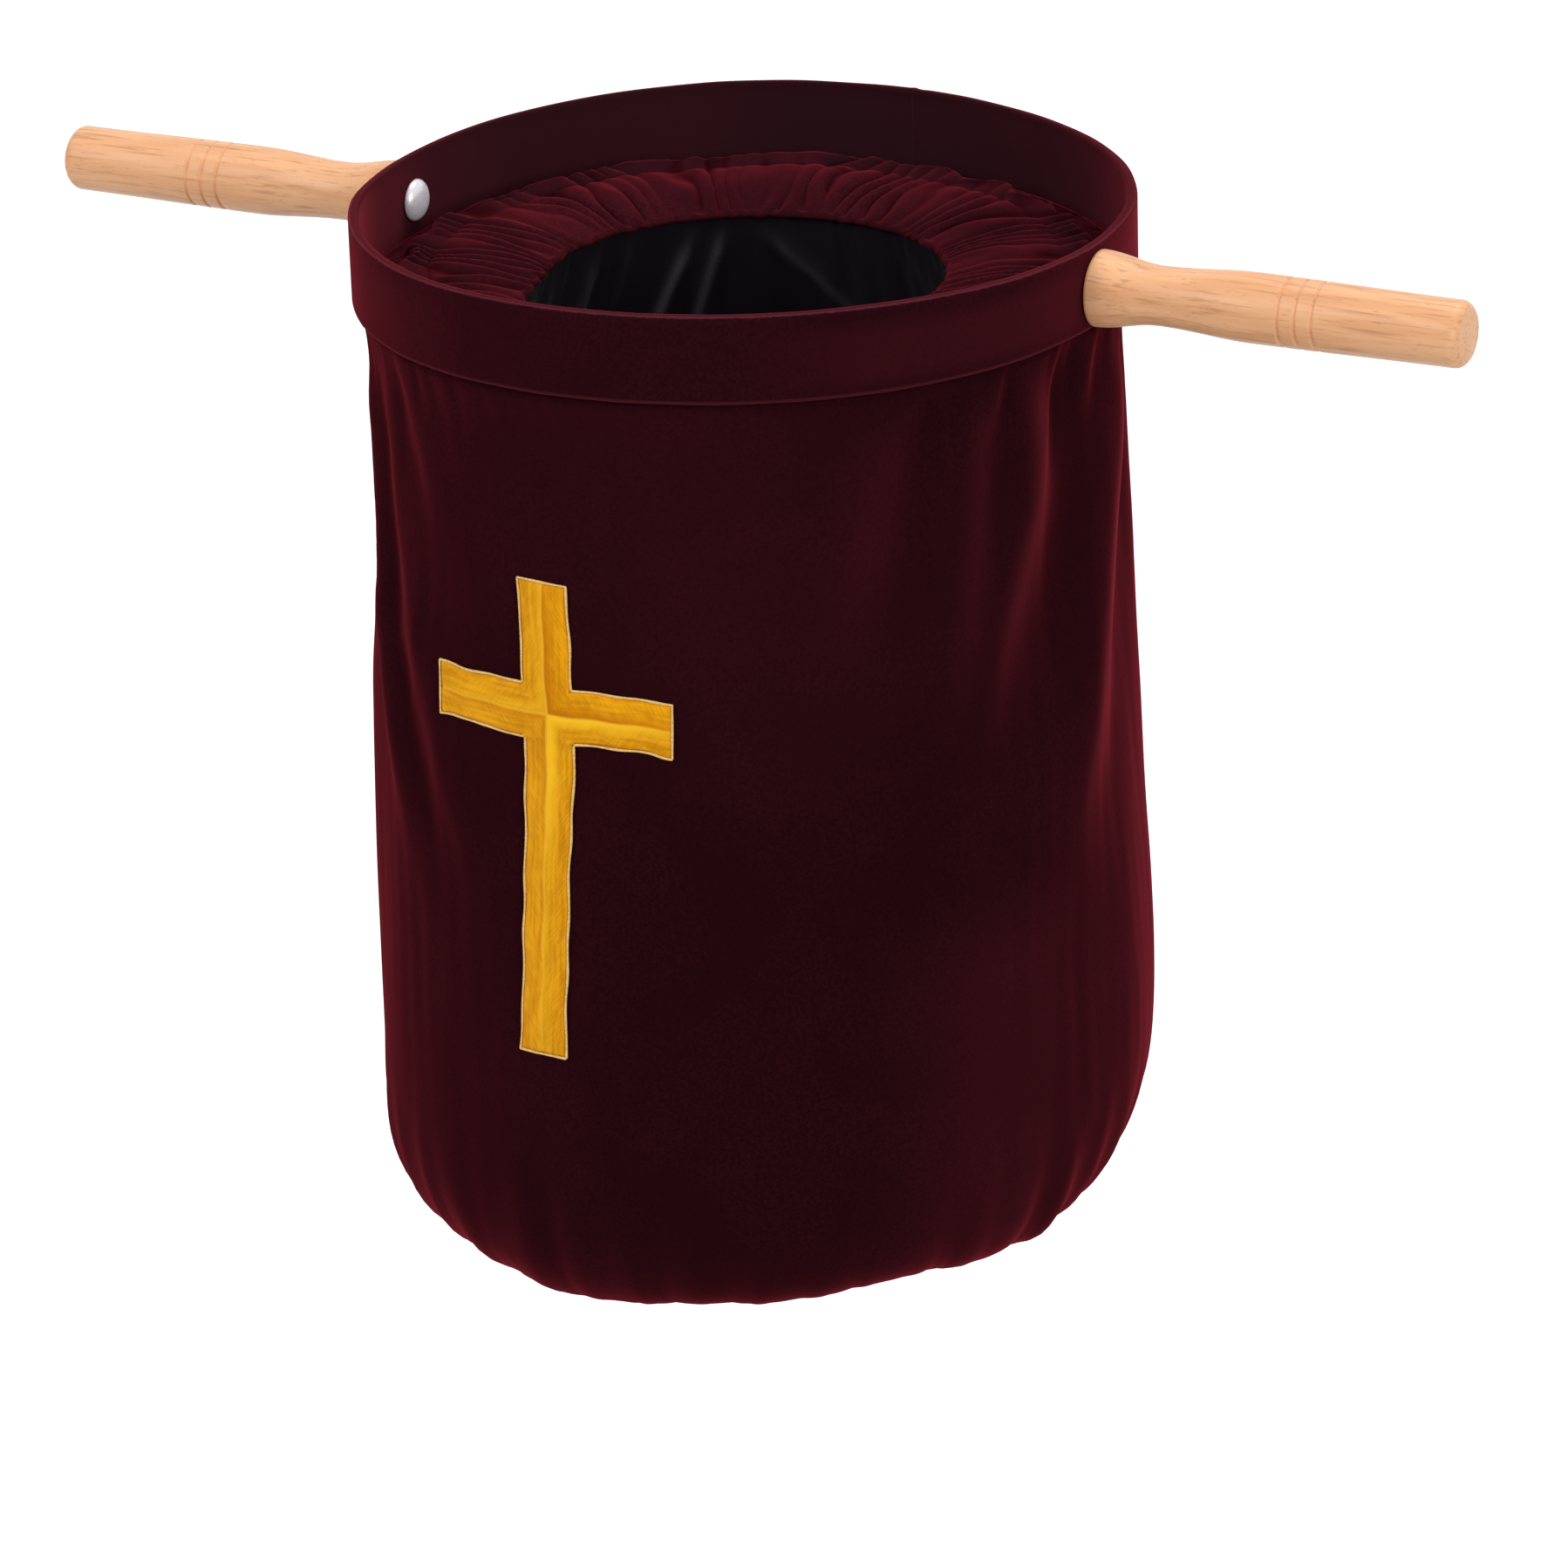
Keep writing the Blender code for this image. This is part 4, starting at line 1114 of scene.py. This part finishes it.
def lining_wall():
    """The satin side of the pouch: gathered at the throat, falling in folds that fan out."""
    start = THROAT_BOTTOM + 0.0010
    shoulder = LINING_TOP - 0.130
    corner = LINING_BOTTOM + LINING_CORNER
    upper = np.linspace(start, shoulder, 60)[:-1]
    heights = np.concatenate([upper, np.linspace(shoulder, corner, 20)[:-1]])[:, None]
    top_radius = THROAT_RADIUS + VELVET + 0.0006
    t = np.clip((start - heights) / (start - shoulder), 0, 1)
    radii = top_radius + (LINING_RADIUS - top_radius) * np.sin(math.pi / 2 * t)
    angles = np.linspace(0, math.pi / 2, 120)
    low_radius = PATCH_RADIUS - 0.006
    curve_r = low_radius + (LINING_RADIUS - low_radius) * np.cos(angles) ** 0.8
    curve_z = corner - LINING_CORNER * np.sin(angles) ** 0.8
    keep = curve_r > PATCH_RADIUS - 0.0006
    low_r, low_z = even_path(curve_r[keep], curve_z[keep], np.linspace(0, 1, 26))
    radius, height = np.concatenate([radii, low_r]), np.concatenate([heights, low_z])
    around = azimuths(432)
    depth = np.clip((LINING_TOP - height) / (LINING_TOP - LINING_BOTTOM), 0, 1)
    fall = ramp(0.0, 0.07, depth)
    lower = ramp(0.98, 0.70, depth)
    broad = ring_waves(around, 5, 15, 52, depth * 2.5) * ramp(0.0, 0.25, depth)
    out = 0.0004 * pleats(around, 58, 51, 0.8, depth * 2) * (1 - fall)
    out = out + 0.0030 * broad * lower
    out = out + 0.0006 * ring_waves(around, 16, 40, 53, depth * 6) * fall * lower
    out = out - lining_folds(around, height) + lip_out(around) * ramp(0.35, 0.0, depth)
    out = out - 0.0008 * gore_seams(around, radius, 0.0010) * ramp(0.0, 0.05, depth)
    obj = grid_object("lining_wall_cloth", turned_points(radius + out, height, around), flip=True)
    # where the satin's painted highlight goes: the crests of its folds
    mark(obj, "crests", (lining_folds(around, height, 3.0) / 0.005) ** 2)
    thicken(obj, SATIN)
    place(obj, [SATIN_LINING], "rim", "lining_wall")
    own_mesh(obj)


def lining_bottom():
    """The bottom of the pouch, where its gores meet, rumpled into low folds."""
    radius = panel_rings(0.002, PATCH_RADIUS, 60)
    around = azimuths(300)
    share = radius / PATCH_RADIUS
    rise = PATCH_RISE * (1 - share**2) ** 1.2
    folds = ring_waves(around, 2, 6, 61, share * 3.0, 1.4)
    crests = 0.8 - 1.6 * np.sqrt(folds**2 + 0.02)
    small = ring_waves(around, 7, 18, 62, share * 5) * ramp(0.2, 0.7, share)
    rumple = 0.0030 * crests * ramp(0.05, 0.45, share) + 0.0012 * small
    height = PATCH_BOTTOM + 0.0006 + rise + np.maximum(rumple, -rise) * ramp(1.0, 0.75, share)
    height = height - 0.0008 * gore_seams(around, radius, 0.0011) * ramp(1.0, 0.9, share)
    obj = grid_object("lining_bottom_cloth", turned_points(radius, height, around), caps=(0,))
    thicken(obj, SATIN)
    place(obj, [SATIN_LINING], "pouch_bottom", "lining_bottom")


# Handles and bolts


def handle_radius(s):
    """The turned handle's radius at distances from its start, before its grooves."""
    s = np.asarray(s, float)
    flare = quarter_wave(HANDLE_FLARE, HANDLE_NECK, s / NECK_AT)
    waist = quarter_wave(HANDLE_NECK, HANDLE_BELLY, (s - NECK_AT) / (BELLY_AT - NECK_AT))
    grip = quarter_wave(HANDLE_BELLY, HANDLE_END, (s - BELLY_AT) / (HANDLE_LENGTH - BELLY_AT))
    return np.where(s < NECK_AT, flare, np.where(s < BELLY_AT, waist, grip))


def handle(side_name, side):
    """A turned handle: flared foot, neck, belly, three scribed grooves and a rounded end."""
    body = np.arange(0.0002, HANDLE_LENGTH - HANDLE_END_ROUND, 0.0008)
    for groove in GROOVES:
        body = body[np.abs(body - groove) > GROOVE_WIDTH]
        body = np.concatenate([body, groove + GROOVE_WIDTH * np.linspace(-0.9, 0.9, 13)])
    body = np.sort(body)
    radius = handle_radius(body)
    for groove in GROOVES:
        radius = radius - GROOVE_DEPTH * bell(body - groove, GROOVE_WIDTH * 0.42)
    angles = np.linspace(0, math.pi / 2, 12)
    cap_s = HANDLE_LENGTH - HANDLE_END_ROUND * (1 - np.sin(angles))
    cap_r = handle_radius(HANDLE_LENGTH) - HANDLE_END_ROUND * (1 - np.cos(angles))
    face_r = np.linspace(cap_r[-1], 0.0002, 9)[1:]
    face_s = HANDLE_LENGTH + 0.0003 * (1 - (face_r / cap_r[-1]) ** 2)
    bore_s = [BORE_DEPTH, BORE_DEPTH, 0.0, 0.0]
    bore_r = [0.0002, BORE_RADIUS, BORE_RADIUS, handle_radius(0) - 0.0003]
    s = np.concatenate([bore_s, body, cap_s, face_s])[:, None]
    r = np.concatenate([bore_r, radius, cap_r, face_r])[:, None]
    around = azimuths(96)
    r = r * (1 + 0.0025 * ring_waves(around, 2, 5, 71, s * 30) * ramp(0.0, 0.004, r))
    obj = turned_piece(f"handle_{side_name}_wood", side, HANDLE_LOW.x + s, r, around)
    mat = wood(f"{side_name}_beech", (side * 0.37, 0.11, 0.05 * side))
    place(obj, [mat], f"{side_name}_grip", f"handle_{side_name}")


def bolt(side_name, side):
    """The bolt's smooth domed head and its shank."""
    low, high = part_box(f"carriage_bolt_{side_name}")
    inner, outer = sorted((abs(low.x), abs(high.x)))
    seat = inner + BOLT_HEAD_HEIGHT
    head = high.z
    outline = [
        (seat - BOLT_HEAD_HEIGHT * math.cos(a), head * math.sin(a) ** 0.92)
        for a in np.linspace(0, math.pi / 2, 22)
    ]
    outline += [(seat + 0.0002, head - 0.0002), (seat, 0.0030), (seat + 0.0001, SHANK_RADIUS)]
    outline += [(outer - 0.0004, SHANK_RADIUS), (outer, SHANK_RADIUS - 0.0004), (outer, 0.0001)]
    x, r = np.maximum(outline, (inner, 0.0001)).T
    obj = turned_piece(f"bolt_{side_name}_steel", side, x[:, None], r[:, None], azimuths(72))
    place(obj, [STEEL], "rim", f"carriage_bolt_{side_name}")


# Cross


def bar_line(table, at):
    """A bar's middle line and half width at places along it."""
    middle = smooth_curve([row[:2] for row in table], at * 1000)
    half = smooth_curve([row[::2] for row in table], at * 1000)
    return MM * middle, MM * half


def cross_place(u, v):
    """Where points of the straight cross lie on the wall: distances across and heights.

    u runs across from the upright's middle line and v up from the arms' middle line.
    """
    bar, span = CROSS_HALF_BAR, CROSS_HALF_SPAN
    z = CROSS_ARM_Z + v
    middle, half = bar_line(UPRIGHT, z)
    upright_across = middle + u * half / bar
    across = u + UPRIGHT_SHIFT * (1 - np.abs(u) / span)
    shorter = LEFT_END_CUT[0] - LEFT_END_CUT[1] * v / bar
    across = across + shorter * ramp(-0.6, -1.0, u / span)
    across = across - RIGHT_END_CUT * ramp(0.6, 1.0, u / span)
    middle, half = bar_line(ARMS, across)
    arm_z = middle + v * half / bar
    in_arm = ramp(bar, 1.3 * bar, np.abs(u))
    in_upright = ramp(bar, 1.3 * bar, np.abs(v))
    wave_u = 0.00020 * np.sin(v * TURN / 0.021 + 1.0)
    wave_v = 0.00020 * np.sin(u * TURN / 0.019 + 2.0)
    place_u = upright_across * (1 - in_arm) + across * in_arm
    place_z = arm_z * (1 - in_upright) + z * in_upright
    return place_u + wave_u * (1 - in_arm), place_z + wave_v * (1 - in_upright)


def on_wall(across, z, lift):
    """Points lifted off the folded wall, at distances across from the cross's azimuth."""
    azimuth = CROSS_AZIMUTH + across / wall_radius(z)
    step = 0.0005
    slope = (wall_radius(z + step) - wall_radius(z - step)) / (2 * step)
    length = np.sqrt(1 + slope**2)
    return wall_surface(azimuth, wall_radius(z), z, 1 / length, -slope / length, lift)


def cross_steps(low, low_count, high, high_count):
    """Grid places along one axis of the cross, closer across the other bar."""
    bar = CROSS_HALF_BAR
    below = np.linspace(low, -bar, low_count)[:-1]
    above = np.linspace(bar, high, high_count)[1:]
    return np.concatenate([below, np.linspace(-bar, bar, 25), above])


def cross_applique():
    """The gold cross: each bar has a low ridge along its middle, and each quarter a tone of painted
    sheen.
    """
    bar, span = CROSS_HALF_BAR, CROSS_HALF_SPAN
    us = cross_steps(-span, 51, span, 51)
    vs = cross_steps(CROSS_BOTTOM, 141, CROSS_TOP, 47)
    u, v = np.meshgrid(us, vs)
    far_u, far_v = np.abs(u), np.abs(v)
    edge_u = np.where(far_v > bar, bar, span)
    edge_v = np.where(far_u > bar, bar, np.where(v > 0, CROSS_TOP, -CROSS_BOTTOM))
    to_edge = np.maximum(np.minimum(edge_u - far_u, edge_v - far_v), 0)
    ridge = RIDGE_HEIGHT * np.clip(to_edge / bar, 0, 1) ** 0.85
    ridge = ridge - 0.00022 * bell(np.minimum(far_u, far_v), 0.0005)
    lift = 0.0004 + 0.0006 * ramp(0, 0.0012, to_edge) + ridge
    points = on_wall(*cross_place(u, v), lift)
    obj = grid_object("cross_applique_cloth", points, (False, False), uv_grid(u, v))
    mesh = obj.data
    for mat in CROSS_TONES:
        mesh.materials.append(mat)
    u, v = np.meshgrid((us[:-1] + us[1:]) / 2, (vs[:-1] + vs[1:]) / 2)
    quarter = np.where(v > 0, np.where(u < 0, 0, 1), np.where(u < 0, 2, 3))
    mesh.polygons.foreach_set("material_index", quarter.ravel().astype(np.int32))
    remove_faces(mesh, ((np.abs(u) > bar) & (np.abs(v) > bar)).ravel())
    thicken(obj, 0.0004)
    place(obj, [], "rim", "cross_applique")
    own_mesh(obj)


def cross_outline(out, pitch):
    """Points round the straight cross, a distance outside it."""
    bar, span = CROSS_HALF_BAR + out, CROSS_HALF_SPAN + out
    top, bottom = CROSS_TOP + out, CROSS_BOTTOM - out
    right = [(bar, top), (bar, bar), (span, bar), (span, -bar), (bar, -bar), (bar, bottom)]
    corners = right + [(-u, v) for u, v in reversed(right)]
    points = []
    for (a, b), (c, d) in zip(corners, corners[1:] + corners[:1]):
        count = max(2, round(math.hypot(c - a, d - b) / pitch))
        points += [(a + (c - a) * i / count, b + (d - b) * i / count) for i in range(count)]
    return np.array(points)


def cross_edge():
    """The pale satin stitching that binds the cross's edge, ribbed by its threads."""
    outline = cross_outline(out=0.0002, pitch=0.00016)
    points = on_wall(*cross_place(*outline.T), 0.0007)
    count = np.arange(len(outline))
    ribs = np.abs(np.sin(count * math.pi / 4.0))
    radii = 0.00034 + 0.00008 * ribs + 0.00005 * np.sin(count * TURN / 91)
    obj = grid_object("cross_edge_thread", tube_points(points, radii, True), (True, True))
    mat = thread("edge_thread", (0.68, 0.40, 0.09), (0.88, 0.60, 0.20))
    place(obj, [mat], "rim", "cross_edge_stitch")
    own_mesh(obj)


# Stage, light and camera


def set_camera():
    """Places the camera where the photograph was taken from."""
    metres = CAMERA_DISTANCE / FOCAL_PIXELS
    across, down = ((pixel - PHOTO_SIDE / 2) * metres for pixel in HOOP_PIXEL)
    data = bpy.data.cameras.new("camera")
    data.sensor_width = SENSOR_WIDTH
    data.lens = FOCAL_PIXELS * SENSOR_WIDTH / PHOTO_SIDE
    data.clip_end = 60.0
    camera = new_object("camera", data)
    aim = Matrix.Rotation(CAMERA_AZIMUTH, 4, "Z")
    aim = aim @ Matrix.Rotation(math.pi / 2 - CAMERA_ELEVATION, 4, "X")
    aim = aim @ Matrix.Rotation(CAMERA_ROLL, 4, "Z")
    camera.matrix_world = aim @ Matrix.Translation((-across, down, CAMERA_DISTANCE))
    bpy.context.scene.camera = camera


def area_light(name, spot, size, power):
    """A soft white light that faces the bag."""
    data = bpy.data.lights.new(name, "AREA")
    data.size = size
    data.energy = power
    lamp = new_object(name, data)
    lamp.location = spot
    lamp.rotation_euler = (LAMP_TARGET - Vector(spot)).to_track_quat("-Z", "Y").to_euler()


def shown_strength(tree, hidden, shown):
    """One strength for what the camera, gloss and glass show, another for the light given."""
    rays = [
        add_node(tree, "ShaderNodeLightPath", output=f"Is {kind} Ray")
        for kind in ("Camera", "Glossy", "Transmission")
    ]
    inputs = {"Value": rays[0] + rays[1] + rays[2], "To Min": hidden, "To Max": shown}
    return add_node(tree, "ShaderNodeMapRange", inputs, clamp=True)


def set_stage():
    """A pale floor, soft white surroundings and three soft lamps."""
    scene = bpy.context.scene
    scene.view_settings.view_transform = "Standard"
    world = bpy.data.worlds.new("studio")
    scene.world = world
    world.use_nodes = True
    tree = world.node_tree
    strength = shown_strength(tree, WORLD_LIGHT, 1.0)
    fill(tree.nodes["Background"], {"Color": (1.0, 1.0, 1.0), "Strength": strength})
    mesh = bpy.data.meshes.new("floor")
    corners = [(x * FLOOR_HALF, y * FLOOR_HALF, 0) for x, y in ((-1, -1), (1, -1), (1, 1), (-1, 1))]
    mesh.from_pydata(corners, [], [(0, 1, 2, 3)])
    floor = new_object("floor", mesh)
    floor.location = (0, 0, FLOOR_Z)
    mat, tree = new_material("pale_floor")
    inputs = {
        "Base Color": (0.62, 0.62, 0.62),
        "Roughness": 0.9,
        "Specular IOR Level": 0.0,
        "Emission Color": (1.0, 1.0, 1.0),
        "Emission Strength": shown_strength(tree, 0.0, FLOOR_GLOW),
    }
    fill(tree.nodes["Principled BSDF"], inputs)
    mesh.materials.append(mat)
    for lamp in LAMPS:
        area_light(*lamp)


# Materials that several pieces share, and the whole

BAG_VELVET = velvet(
    "bag_velvet", (0.0158, 0.0030, 0.0048), (0.0226, 0.0040, 0.0063), (0.80, 0.068, 0.104), 0.42
)
SATIN_LINING = satin()
STEEL = metal("bolt_steel", (0.90, 0.87, 0.92), 0.30, 0.3)
BRASS = metal("insert_brass", (0.72, 0.52, 0.22), 0.35)
# each quarter's tone is a painted sheen from the way its floss lies, with a painted highlight or
# shade by its ridge
CROSS_TONES = (
    gold_cloth("upper_left", (0.62, 0.248, 0.005), (0.90, 0.415, 0.012), 35, PAINTED_GOLD_HIGHLIGHT, 0.35),
    gold_cloth("upper_right", (0.62, 0.235, 0.003), (0.90, 0.405, 0.008), -35, PAINTED_GOLD_SHADE, 0.75),
    gold_cloth("lower_left", (0.65, 0.255, 0.005), (0.94, 0.430, 0.014), -35, PAINTED_GOLD_SHADE, 0.30),
    gold_cloth("lower_right", (0.57, 0.222, 0.004), (0.86, 0.385, 0.010), 35, PAINTED_GOLD_HIGHLIGHT, 1.00),
)


def build():
    """Makes every piece, and gives the inserts, which keep their shape, a finish."""
    set_camera()
    set_stage()
    hoop_cover()
    hoop_band()
    bag_wall()
    bag_base()
    funnel()
    lining_wall()
    lining_bottom()
    cross_applique()
    cross_edge()
    topstitch()
    for side_name, side in (("left", -1), ("right", 1)):
        handle(side_name, side)
        bolt(side_name, side)
        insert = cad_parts[f"threaded_insert_{side_name}"].data
        insert.materials.clear()
        insert.materials.append(BRASS)


build()
